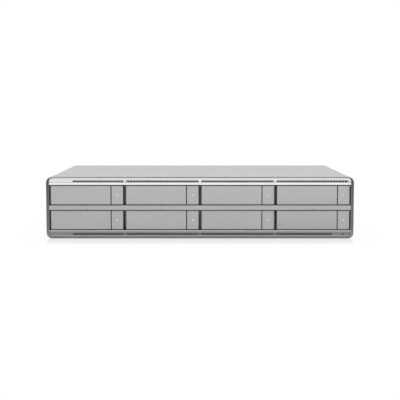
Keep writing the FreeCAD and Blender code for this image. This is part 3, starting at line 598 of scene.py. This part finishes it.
frameLook = {"openingHalf": 216.1}
middleLook = {"notchShadeDepth": 0.4}
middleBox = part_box("middle_bar")
barLook = {"lip": 2.4, "lipDepth": 0.6, "foot": 4.7, "edgeSlope": 0.25, "pinhole": (204.6, 6.175),
           "pinholeRadius": 1.0}
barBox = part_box("lower_bar")
pinLook = {"places": ((-186.2, 22), (-179.2, 26), (-172.2, 22)), "half": (1.1, 2.1), "along": (134.4, 142.6)}
chipLook = {"height": 3.0, "skirt": 0.1}  # the skirt at the chip's foot stays green
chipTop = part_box("heat_sink")[0].z
socketLook = {"lining": 0.5, "rim": 0.4, "shell": 1.3, "between": -45.0}
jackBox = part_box("network_jacks")
jackMouths = [openings["network_jack_1"], openings["network_jack_2"]]
driveLook = {"lid": 0.85}


def frameFace(face):
    # the walls of the opening are painted in the case's pale powder, a painted light that lifts the shade in
    # the gaps beside the trays
    return int(abs(face.center.x) < frameLook["openingHalf"] * mm and abs(face.normal.x) > square)


def middleFace(face):
    # the index notches are painted black, a painted shade in them
    deep = face.center.y > middleBox[0].y + middleLook["notchShadeDepth"] * mm
    return int((deep and face.normal.y < -square) or abs(face.normal.x) > square)


def barFace(face):
    # the lip and the foot are painted paler and the band darker, as lit and shaded copies of one blasting;
    # the lip's upward edge is cut bright, a painted highlight, and the pinhole is painted black for its
    # shade
    low, high = barBox
    inFront = face.center.y < low.y + barLook["lipDepth"] * mm
    if inFront and face.center.z > high.z - barLook["lip"] * mm:
        return 2 if face.normal.z > barLook["edgeSlope"] else 1
    x, z = barLook["pinhole"]
    if math.hypot(face.center.x / mm - x, face.center.z / mm - z) < barLook["pinholeRadius"]:
        return 4
    return 3 if face.center.z < barLook["foot"] * mm else 0


def pinFace(face):
    # the inlet's three pins are plated
    x, y, z = face.center / mm
    wide, tall = pinLook["half"]
    start, end = pinLook["along"]
    onPin = any(abs(x - px) < wide and abs(z - pz) < tall for px, pz in pinLook["places"])
    return int(start < y < end and onPin)


def boardFace(face):
    # the chip under the heat sink is black plastic
    return int(face.center.z > chipTop - (chipLook["height"] - chipLook["skirt"]) * mm)


def socketShells():
    # a box round the display socket and one round the data sockets
    points = [v.co for v in cadNodes["data_sockets"].data.vertices]
    pairs = [[p for p in points if side * (p.x - socketLook["between"] * mm) > 0] for side in (-1, 1)]
    return [[Vector([pick(p[i] for p in pair) for i in range(3)]) for pick in (min, max)] for pair in pairs]


shells = socketShells()


def inMouth(face, box, room):
    # seen from behind, the face lies in the box with this much room round it
    low, high = box
    return all(low[i] - room * mm < face.center[i] < high[i] + room * mm for i in (0, 2))


def jackFace(face):
    # the mouth is lined with black plastic
    lined = any(inMouth(face, mouth, socketLook["lining"]) for mouth in jackMouths)
    return int(lined and face.center.y < jackBox[1].y - socketLook["rim"] * mm)


def socketFace(face):
    # tongues and back walls are black plastic, set in from the shells
    shell = shells[face.center.x > socketLook["between"] * mm]
    inset = inMouth(face, shell, -socketLook["shell"])
    return int(inset and face.center.y < shell[1].y - socketLook["rim"] * mm)


dressNode("top_cover", 0.25, [powderCoatLightGrey])
dressNode("base_pan", 0.15, [powderCoatLightGrey], cutters=[countersinks()])
dressNode("rear_panel", 0.2, [powderCoatLightGrey])
dressNode("bezel_frame", 0.1, [flakeLacquerDark, powderCoatLightGrey], frameFace)
stripFinishes = [silverLacquer, brightCutAluminium, beadBlastedPale, shadePaintBlack]
dressNode("vent_strip", 0.15, stripFinishes, stripFace, ventCutters(), plainVent)
dressNode("middle_bar", 0.1, [beadBlastedSilver, mouldedNylonBlack], middleFace)
barFinishes = [beadBlastedGrey, beadBlastedPale, brightCutAluminium, beadBlastedSilver, shadePaintBlack]
dressNode("lower_bar", 0.25, barFinishes, barFace)
dressNode("drive_cage", 0.15, [zincDippedSteel])
dressNode("backplane", 0.15, [boardGreen])
dressNode("drive_sockets", 0.2, [mouldedNylonBlack])
dressNode("main_board", 0.15, [boardGreen, mouldedNylonBlack], boardFace)
dressNode("heat_sink", 0.15, [extrudedAluminium])
dressNode("network_jacks", 0.2, [nickelPlate, mouldedNylonBlack], jackFace)
dressNode("data_sockets", 0.15, [nickelPlate, mouldedNylonBlack], socketFace)
dressNode("power_supply", 0.2, [zincDippedSteel])
dressNode("power_inlet", 0.3, [mouldedNylonBlack, nickelPlate], pinFace)
dressNode("power_rocker", 0.12, [polishedNylonBlack])
dressNode("fan_frames", 0.2, [mouldedFanBlack])
for k in bays:
    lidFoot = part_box(f"drive_{k}")[1].z - driveLook["lid"] * mm
    dressNode(f"tray_{k}", 0.15, [dipPaintBlack])
    dressNode(f"drive_{k}", 0.3, [dieCastAluminium, rolledStainless],
              lambda face: int(face.center.z > lidFoot))
    dressNode(f"lever_{k}", 0.2, [beadBlastedSilver])
    dressNode(f"button_{k}", 0.2, [beadBlastedSilver])
    dressNode(f"light_pipe_{k}", 0.05, [mouldedAcrylic])
print("solids dressed")


# Screws and other turned heads, each on a point that faces outwards

headLook = {"sides": 28, "rings": 4, "curve": 2.5}


def drawnIn(tree, mesh, top, span, curve, amount):
    # the last span below the top is drawn in towards the axis, more and more
    add = partial(addNode, tree)
    place = add("GeometryNodeInputPosition")[0]
    up = add("ShaderNodeSeparateXYZ", {}, {0: place})["Z"]
    start = add("ShaderNodeMath", {"operation": "SUBTRACT"}, {0: top, 1: span})[0]
    loss = up
    for settings, links in (
            ({"operation": "SUBTRACT"}, {1: start}), ({"operation": "DIVIDE", "use_clamp": True}, {1: span}),
            ({"operation": "POWER", 1: curve}, {}), ({"operation": "MULTIPLY"}, {1: amount})):
        loss = add("ShaderNodeMath", settings, {0: loss, **links})[0]
    keep = add("ShaderNodeMath", {"operation": "SUBTRACT", 0: 1.0}, {1: loss})[0]
    scale = add("ShaderNodeCombineXYZ", {"Z": 1.0}, {"X": keep, "Y": keep})[0]
    shaped = add("ShaderNodeVectorMath", {"operation": "MULTIPLY"}, {0: place, 1: scale})[0]
    return add("GeometryNodeSetPosition", {}, {"Geometry": mesh, "Position": shaped})[0]


def headTree():
    floats = (
        "Foot Radius", "Top Radius", "Height", "Crown", "Recess Width", "Recess Length", "Recess Depth")
    tree, inputs = growTree("turnedHeads", floats, {"Seed": "Int"})
    add = partial(addNode, tree)
    height = inputs["Height"]
    blank = add(
        "GeometryNodeMeshCone", {"Vertices": headLook["sides"], "Side Segments": headLook["rings"]},
        {"Radius Bottom": inputs["Foot Radius"], "Radius Top": inputs["Top Radius"], "Depth": height})
    head = drawnIn(tree, blank["Mesh"], height, height, headLook["curve"], inputs["Crown"])
    # a crossed recess is sunk into the top
    deep = add("ShaderNodeMath", {"operation": "MULTIPLY", 1: 2.0}, {0: inputs["Recess Depth"]})[0]
    top = add("ShaderNodeCombineXYZ", {}, {"Z": height})[0]
    cuts = []
    for x, y in (("Recess Length", "Recess Width"), ("Recess Width", "Recess Length")):
        size = add("ShaderNodeCombineXYZ", {}, {"X": inputs[x], "Y": inputs[y], "Z": deep})[0]
        bar = add("GeometryNodeMeshCube", {}, {"Size": size})["Mesh"]
        cuts.append(add("GeometryNodeTransform", {}, {"Geometry": bar, "Translation": top})[0])
    sunk = add(
        "GeometryNodeMeshBoolean", {"operation": "DIFFERENCE", "solver": "EXACT"},
        {"Mesh 1": head, "Mesh 2": cuts})["Mesh"]
    # each head faces its point's way and is driven home at its own angle
    facing = add("GeometryNodeInputNamedAttribute", {"data_type": "FLOAT_VECTOR", "Name": "facing"})
    turned = add("FunctionNodeAlignRotationToVector", {"axis": "Z"}, {"Vector": facing[0]})
    angle = add(
        "FunctionNodeRandomValue", {"data_type": "FLOAT", 2: 0.0, 3: math.tau}, {8: inputs["Seed"]})[1]
    spin = add("FunctionNodeAxisAngleToRotation", {"Axis": (0, 0, 1)}, {"Angle": angle})
    heads = add(
        "GeometryNodeInstanceOnPoints", {},
        {"Points": inputs["Geometry"], "Instance": sunk, "Rotation": turned[0]})
    driven = add(
        "GeometryNodeRotateInstances", {"Local Space": True}, {"Instances": heads[0], "Rotation": spin[0]})
    return endTree(tree, inputs, driven[0])


turnedHeads = headTree()


def setHeads(name, places, look, finish, body):
    wide, long, deep = look["recess"]
    lengths = {"Foot Radius": look["foot"], "Top Radius": look["top"], "Height": look["height"],
               "Recess Width": wide, "Recess Length": long, "Recess Depth": deep}
    values = {size: length * mm for size, length in lengths.items()}
    values.update({"Crown": look["crown"], "Seed": look["seed"], "Finish": finish})
    joinBody(growPiece(name, turnedHeads, placesMesh(name, places), values), body)


def bothSides(left, right, spots):
    # places on the left wall and on the right one, facing outwards
    return [((x, y, z), (side, 0, 0)) for x, side in ((left, -1), (right, 1)) for y, z in spots]


def sideScrews():
    low, high = boxOf("base_pan")
    sunk = coverScrews["below"] + coverScrews["height"]
    spots = [(y, coverScrews["level"]) for y in coverScrews["along"]]
    places = bothSides(low.x + sunk, high.x - sunk, spots)
    setHeads("cover_screws", places, coverScrews, blackZinc, "chassis")


fanScrews = {"spread": 35.75, "foot": 3.0, "top": 3.0, "height": 1.9, "crown": 0.3,
             "recess": (0.9, 3.0, 1.0), "seed": 5}
edgeScrews = {"fromEnd": 7.0, "levels": (20.0, 68.0), "foot": 2.7, "top": 2.7, "height": 1.6, "crown": 0.3,
              "recess": (0.8, 2.7, 0.9), "seed": 8}


def rearScrews():
    low, high = boxOf("rear_panel")
    back = (0, 1, 0)
    places = []
    for k in (1, 2):
        rotor = boxOf(f"fan_rotor_{k}")
        x, y, z = (rotor[0] + rotor[1]) / 2
        spread = (-fanScrews["spread"], fanScrews["spread"])
        places += [((x + across, high.y, z + up), back) for across in spread for up in spread]
    setHeads("fan_screws", places, fanScrews, blackZinc, "chassis")
    ends = (low.x + edgeScrews["fromEnd"], high.x - edgeScrews["fromEnd"])
    places = [((x, high.y, z), back) for x in ends for z in edgeScrews["levels"]]
    setHeads("panel_screws", places, edgeScrews, nickelPlate, "chassis")


lidScrews = {"inset": 9.5, "foot": 2.0, "top": 2.0, "height": 0.5, "crown": 0.2, "recess": (0.6, 2.0, 0.3),
             "seed": 13}
lidBoss = {"fromFront": 52.0, "foot": 11.0, "top": 10.6, "height": 0.35, "crown": 0.0,
           "recess": (0.5, 6.0, 0.12), "seed": 21}
railScrews = {"fromEnds": 6.0, "aboveFloor": 6.35, "foot": 2.9, "top": 2.9, "height": 0.22, "crown": 0.12,
              "recess": (0.7, 2.6, 0.12), "seed": 34}


def trayScrews(k):
    low, high = boxOf(f"drive_{k}")
    middle = (low + high) / 2
    up = (0, 0, 1)
    inset = lidScrews["inset"]
    xs = (low.x + inset, high.x - inset)
    ys = (low.y + inset, middle.y, high.y - inset)
    places = [((x, y, high.z), up) for x in xs for y in ys]
    body = bodyOf[f"drive_{k}"]
    look = dict(lidScrews, seed=lidScrews["seed"] + k)
    setHeads(f"lid_screws_{k}", places, look, nickelPlate, body)
    places = [((middle.x, low.y + lidBoss["fromFront"], high.z), up)]
    setHeads(f"lid_boss_{k}", places, lidBoss, rolledStainless, body)
    left, right = boxOf(f"tray_{k}")
    ys = (low.y + railScrews["fromEnds"], high.y - railScrews["fromEnds"])
    places = bothSides(left.x, right.x, [(y, low.z + railScrews["aboveFloor"]) for y in ys])
    look = dict(railScrews, seed=railScrews["seed"] + k)
    setHeads(f"rail_screws_{k}", places, look, nickelPlate, bodyOf[f"tray_{k}"])


capacitors = {"places": ((-60, 60), (-48, 60), (-36, 60), (8, 60), (20, 60), (-60, 118), (16, 118)),
              "foot": 4.0, "top": 4.0, "height": 11.0, "crown": 0.06, "recess": (0.3, 5.0, 0.25), "seed": 55}


def boardParts():
    top = chipTop / mm - chipLook["height"]
    places = [((x, y, top), (0, 0, 1)) for x, y in capacitors["places"]]
    setHeads("board_capacitors", places, capacitors, extrudedAluminium, "chassis")


sideScrews()
rearScrews()
for k in bays:
    trayScrews(k)
boardParts()
print("turned heads set")


# Rows of contact springs in the network jacks

contactLook = {"count": 8, "pitch": 1.02, "size": (0.5, 9.0, 0.3), "steps": 4, "fromFront": 1.0,
               "above": 0.2}


def springTree():
    tree, inputs = growTree("contactSprings", (), {"Size": "Vector", "Steps": "Int"})
    spring = addNode(
        tree, "GeometryNodeMeshCube", {}, {"Size": inputs["Size"], "Vertices Y": inputs["Steps"]})["Mesh"]
    springs = addNode(
        tree, "GeometryNodeInstanceOnPoints", {}, {"Points": inputs["Geometry"], "Instance": spring})
    return endTree(tree, inputs, springs[0])


def jackContacts():
    count, pitch = contactLook["count"], contactLook["pitch"]
    size = Vector(contactLook["size"])
    places = []
    for mouth in jackMouths:
        low, high = [corner / mm for corner in mouth]
        first = (low.x + high.x - (count - 1) * pitch) / 2
        y = low.y + size.y / 2 + contactLook["fromFront"]
        z = high.z + contactLook["above"]
        places += [((first + i * pitch, y, z), (0, 0, 1)) for i in range(count)]
    values = {"Size": size * mm, "Steps": contactLook["steps"], "Finish": goldFlash}
    piece = growPiece("jack_contacts", springTree(), placesMesh("jack_contacts", places), values)
    joinBody(piece, "chassis")


jackContacts()
print("contacts set")


# Fan wheels: one cambered blade, repeated round a moulded hub

wheelLook = {"blades": 7, "tip": 36.2, "root": 1.0, "chord": (15.0, 19.0), "pitch": (46.0, 31.0),
             "camber": 1.7, "sweep": 0.16, "thickness": 1.3, "chordSteps": 8, "spanSteps": 8}
hubLook = {"radius": 15.9, "round": 2.5, "taper": 0.13, "curve": 2.0, "sides": 56, "rings": 24, "fill": 4,
           "bore": 1.6, "boreWall": 1.9, "boreSides": 32}


def bladeMesh():
    # chord and pitch change from the root, which is sunk into the hub, to the tip, and the section is bowed
    look = wheelLook
    spans = ((hubLook["radius"] - look["root"], look["tip"]), look["chord"], look["pitch"])
    bm = bmesh.new()
    rows = []
    for j in range(look["spanSteps"] + 1):
        v = j / look["spanSteps"]
        radius, chord, pitch = [a + (b - a) * v for a, b in spans]
        sine, cosine = math.sin(math.radians(pitch)), math.cos(math.radians(pitch))
        row = []
        for i in range(look["chordSteps"] + 1):
            u = i / look["chordSteps"] - 0.5
            bow = look["camber"] * (1 - 4 * u * u)
            along = u * chord * sine + bow * cosine
            angle = (u * chord * cosine - bow * sine) / radius + look["sweep"] * v * v
            spot = Vector((radius * math.sin(angle), along, radius * math.cos(angle)))
            row.append(bm.verts.new(spot * mm))
        rows.append(row)
    stitch(bm, rows)
    return meshFrom(bm, "fanBlade")


def wheelTree():
    floats = ("Hub Radius", "Hub Depth", "Hub Round", "Hub Taper", "Bore Radius", "Bore Wall")
    tree, inputs = growTree("fanWheel", floats, {"Blades": "Int", "Centre": "Vector"})
    add = partial(addNode, tree)
    points = add("GeometryNodeMeshLine", {"Offset": (0, 0, 0)}, {"Count": inputs["Blades"]})
    number = add("GeometryNodeInputIndex")[0]
    step = add("ShaderNodeMath", {"operation": "DIVIDE", 0: math.tau}, {1: inputs["Blades"]})[0]
    angle = add("ShaderNodeMath", {"operation": "MULTIPLY"}, {0: number, 1: step})[0]
    turn = add("FunctionNodeAxisAngleToRotation", {"Axis": (0, 1, 0)}, {"Angle": angle})[0]
    blades = add(
        "GeometryNodeInstanceOnPoints", {},
        {"Points": points[0], "Instance": inputs["Geometry"], "Rotation": turn})
    # the hub's inner end is rounded off
    drum = add(
        "GeometryNodeMeshCylinder",
        {"Vertices": hubLook["sides"], "Side Segments": hubLook["rings"], "Fill Segments": hubLook["fill"]},
        {"Radius": inputs["Hub Radius"], "Depth": inputs["Hub Depth"]})["Mesh"]
    half = add("ShaderNodeMath", {"operation": "MULTIPLY", 1: 0.5}, {0: inputs["Hub Depth"]})[0]
    hub = drawnIn(tree, drum, half, inputs["Hub Round"], hubLook["curve"], inputs["Hub Taper"])
    # the shaft runs in a blind bore from the hub's outer end
    rod = add(
        "GeometryNodeMeshCylinder", {"Vertices": hubLook["boreSides"]},
        {"Radius": inputs["Bore Radius"], "Depth": inputs["Hub Depth"]})["Mesh"]
    below = add("ShaderNodeMath", {"operation": "MULTIPLY", 1: -1.0}, {0: inputs["Bore Wall"]})[0]
    shift = add("ShaderNodeCombineXYZ", {}, {"Z": below})[0]
    drill = add("GeometryNodeTransform", {}, {"Geometry": rod, "Translation": shift})[0]
    cup = add(
        "GeometryNodeMeshBoolean", {"operation": "DIFFERENCE", "solver": "EXACT"},
        {"Mesh 1": hub, "Mesh 2": drill})["Mesh"]
    laid = add("GeometryNodeTransform", {"Rotation": (math.pi / 2, 0, 0)}, {"Geometry": cup})
    wheel = add("GeometryNodeJoinGeometry", {}, {0: [laid[0], blades[0]]})
    placed = add("GeometryNodeTransform", {}, {"Geometry": wheel[0], "Translation": inputs["Centre"]})
    return endTree(tree, inputs, placed[0])


def fanWheels():
    tree = wheelTree()
    blade = addObject("bladeBlank", bladeMesh())
    mesh = thicken(blade, wheelLook["thickness"], 0.0).data
    bpy.data.objects.remove(blade)
    for k in (1, 2):
        node = f"fan_rotor_{k}"
        low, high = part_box(node)
        values = {"Blades": wheelLook["blades"], "Centre": (low + high) / 2, "Finish": mouldedFanBlack,
                  "Hub Radius": hubLook["radius"] * mm, "Hub Depth": high.y - low.y,
                  "Hub Round": hubLook["round"] * mm, "Hub Taper": hubLook["taper"],
                  "Bore Radius": hubLook["bore"] * mm, "Bore Wall": hubLook["boreWall"] * mm}
        joinBody(growPiece(f"fan_wheel_{k}", tree, mesh, values), bodyOf[node], [node])


fanWheels()
print("fan wheels set")


# Status lights, foam sheets of painted shade behind the openings, and switch marks

lensLook = {"radius": 1.05, "rise": 0.3, "rings": 5, "segments": 24}


def statusLens(k):
    # a low dome on the end of the light guide
    name = f"status_lens_{k}"
    low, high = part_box(f"button_{k}")
    middle = (low + high) / 2
    middle.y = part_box(f"light_pipe_{k}")[0].y
    turns = turnSteps(lensLook["segments"])
    bm = bmesh.new()
    rings = []
    for ring in range(lensLook["rings"]):
        lift = math.pi / 2 * ring / lensLook["rings"]
        radius = lensLook["radius"] * math.cos(lift)
        out = lensLook["rise"] * math.sin(lift)
        spots = [Vector((radius * math.cos(t), -out, radius * math.sin(t))) for t in turns]
        rings.append([bm.verts.new(middle + spot * mm) for spot in spots])
    stitch(bm, rings, True)
    tip = bm.verts.new(middle + Vector((0, -lensLook["rise"], 0)) * mm)
    for i in range(lensLook["segments"]):
        bm.faces.new((rings[-1][i - 1], rings[-1][i], tip))
    bm.faces.new(rings[0])
    bmesh.ops.recalc_face_normals(bm, faces=bm.faces)
    mesh = smooth(meshFrom(bm, name, [litLens]), "sheet")
    joinBody(addObject(name, mesh), bodyOf[f"light_pipe_{k}"])


foamLook = {"lower_bar": {"x": (-186, 193), "z": (3.3, 10.2), "wall": -151.2, "finish": shadeFoamGrey},
            "vent_strip": {"x": (-190, 213), "z": (78.1, 85.5), "wall": -151.1, "finish": shadeFoamBlack}}
foamCut = {"thickness": 2.0, "gap": 0.05, "wave": 0.12, "ripple": (2.3, 1.7), "cells": 2.0}


def shadeFoamStrip(node):
    # a cut strip of foam against the back of its bar's wall, its faces a little uneven: a sheet whose colour
    # is the painted shade behind the openings
    name = "filter_" + node
    (x0, x1), (z0, z1) = foamLook[node]["x"], foamLook[node]["z"]
    columns, rows = [int(length / foamCut["cells"]) for length in (x1 - x0, z1 - z0)]
    front = foamLook[node]["wall"] + foamCut["gap"]
    across, up = foamCut["ripple"]
    bm = bmesh.new()
    sheets = []
    for face, inwards in ((front, 1), (front + foamCut["thickness"], -1)):
        sheet = []
        for j in range(rows + 1):
            line = []
            for i in range(columns + 1):
                dent = foamCut["wave"] * (1 + math.sin(across * i) * math.cos(up * j)) / 2
                spot = (x0 + (x1 - x0) * i / columns, face + inwards * dent, z0 + (z1 - z0) * j / rows)
                line.append(bm.verts.new(Vector(spot) * mm))
            sheet.append(line)
        stitch(bm, sheet)
        sheets.append(sheet)
    rim = [(0, i) for i in range(columns)] + [(j, columns) for j in range(rows)]
    rim += [(rows, i) for i in range(columns, 0, -1)] + [(j, 0) for j in range(rows, 0, -1)]
    stitch(bm, [[sheet[j][i] for j, i in rim] for sheet in sheets], True)
    bmesh.ops.recalc_face_normals(bm, faces=bm.faces)
    mesh = smooth(meshFrom(bm, name, [foamLook[node]["finish"]]), "sheet")
    joinBody(addObject(name, mesh), "chassis")


markLook = {"tilt": 7.0, "crown": 5.0, "from": 5.6, "bar": (0.7, 3.6), "ring": (1.25, 1.95), "lift": 0.03,
            "film": 0.05, "segments": 40}


def switchMarks():
    # a bar and a ring printed on the rocker's two flats, which stand at the same slope to its middle
    joints = {joint["name"]: joint for joint in behaviour["joints"]}
    pivot = Vector(joints["power_switch"]["pos_m"])
    tilt = math.radians(markLook["tilt"])
    bm = bmesh.new()

    def onFlat(side, u, v):
        # u across the rocker, v along the flat from its middle
        y = markLook["crown"] + v * math.tan(tilt) + markLook["lift"]
        spot = Vector((u, y, side * v)) * mm
        return bm.verts.new(Matrix.Rotation(-tilt, 4, "X") @ spot + pivot)

    middle = markLook["from"]
    wide, tall = [size / 2 for size in markLook["bar"]]
    corners = ((-wide, -tall), (wide, -tall), (wide, tall), (-wide, tall))
    bm.faces.new([onFlat(1, u, middle + v) for u, v in corners])
    turns = turnSteps(markLook["segments"])
    ring = [[onFlat(-1, r * math.cos(t), middle + r * math.sin(t)) for t in turns] for r in markLook["ring"]]
    stitch(bm, ring, True)
    for face in bm.faces:
        face.normal_update()
        if face.normal.y < 0:
            face.normal_flip()
    piece = addObject("switch_marks", meshFrom(bm, "switch_marks", [padPrintWhite]))
    joinBody(thicken(piece, markLook["film"], -1.0), bodyOf["power_rocker"])


for k in bays:
    statusLens(k)
for node in foamLook:
    shadeFoamStrip(node)
switchMarks()
print("lights, filters and marks set")


# Floor, light and camera

white = (1, 1, 1, 1)
stageLook = {"floorSize": 60.0, "floorColour": "#f4f4f4", "catch": 0.28, "near": 22, "far": 82, "gloss": 0.8,
             "glossRough": 0.05, "ambient": 0.58}
lampLook = {"overheadBox": {"power": 15.0, "size": (1.6, 1.2), "place": (0.0, -0.35, 2.0), "mirrored": True},
            "frontCard": {"power": 10.0, "size": (2.4, 1.4), "place": (0.0, -2.6, 0.9), "mirrored": False}}


def seenRays(tree):
    # camera, mirror and glass rays see the white studio; other rays see the lit one
    path = addNode(tree, "ShaderNodeLightPath")
    seen = path["Is Camera Ray"]
    for ray in ("Is Glossy Ray", "Is Transmission Ray"):
        seen = addNode(tree, "ShaderNodeMath", {"operation": "MAXIMUM"}, {0: seen, 1: path[ray]})[0]
    return seen


def studioFloor():
    material = bpy.data.materials.new("paleSweep")
    material.use_nodes = True
    tree = material.node_tree
    tree.nodes.clear()
    add = partial(addNode, tree)
    # close to the part the floor shows a soft mirror image, further off it is plain white
    outside = add("ShaderNodeTexCoord")["Object"]
    for settings in (
            {"operation": "ABSOLUTE"}, {"operation": "SUBTRACT", 1: cadBox[1]},
            {"operation": "MAXIMUM", 1: (0, 0, 0)}):
        outside = add("ShaderNodeVectorMath", settings, {0: outside})[0]
    distance = add("ShaderNodeVectorMath", {"operation": "LENGTH"}, {0: outside})
    near = add(
        "ShaderNodeMapRange",
        {"interpolation_type": "SMOOTHSTEP", "From Min": stageLook["near"] * mm,
         "From Max": stageLook["far"] * mm, "To Min": stageLook["catch"], "To Max": 0.0},
        {"Value": distance["Value"]})["Result"]
    bright = add("ShaderNodeEmission", {"Color": white, "Strength": 1.0})[0]
    paper = add("ShaderNodeBsdfDiffuse", {"Color": linear(stageLook["floorColour"])})[0]
    gloss = add("ShaderNodeBsdfGlossy", {"Color": white, "Roughness": stageLook["glossRough"]})[0]
    sheen = add("ShaderNodeMixShader", {0: stageLook["gloss"]}, {1: paper, 2: gloss})[0]
    seen = add("ShaderNodeMixShader", {}, {0: near, 1: bright, 2: sheen})[0]
    floor = add("ShaderNodeMixShader", {}, {0: seenRays(tree), 1: paper, 2: seen})
    add("ShaderNodeOutputMaterial", {}, {"Surface": floor[0]})
    bm = bmesh.new()
    bmesh.ops.create_grid(bm, x_segments=1, y_segments=1, size=stageLook["floorSize"] / 2)
    addObject("studioFloor", meshFrom(bm, "studioFloor", [material]))


def studioLight():
    world = bpy.data.worlds.new("studio")
    world.use_nodes = True
    tree = world.node_tree
    tree.nodes.clear()
    add = partial(addNode, tree)
    lit, bright = [
        add("ShaderNodeBackground", {"Color": white, "Strength": strength})[0]
        for strength in (stageLook["ambient"], 1.0)]
    both = add("ShaderNodeMixShader", {}, {0: seenRays(tree), 1: lit, 2: bright})
    add("ShaderNodeOutputWorld", {}, {"Surface": both[0]})
    bpy.context.scene.world = world
    for name, look in lampLook.items():
        lamp = bpy.data.lights.new(name, "AREA")
        lamp.shape = "RECTANGLE"
        lamp.size, lamp.size_y = look["size"]
        lamp.energy = look["power"]
        holder = addObject(name, lamp)
        holder.location = look["place"]
        holder.rotation_euler = (-Vector(look["place"])).to_track_quat("-Z", "Y").to_euler()
        holder.visible_glossy = look["mirrored"]


cameraLook = {"lens": 96.0, "sensor": 36.0, "place": (0.0, -1.674, 0.1872), "pitchDown": 4.962}


def photoCamera():
    camera = bpy.data.cameras.new("photoCamera")
    camera.lens = cameraLook["lens"]
    camera.sensor_width = cameraLook["sensor"]
    holder = addObject("photoCamera", camera)
    holder.location = cameraLook["place"]
    holder.rotation_euler = (math.radians(90 - cameraLook["pitchDown"]), 0, 0)
    bpy.context.scene.camera = holder


studioFloor()
studioLight()
photoCamera()
bpy.context.scene.view_settings.view_transform = "Standard"
print("stage set")
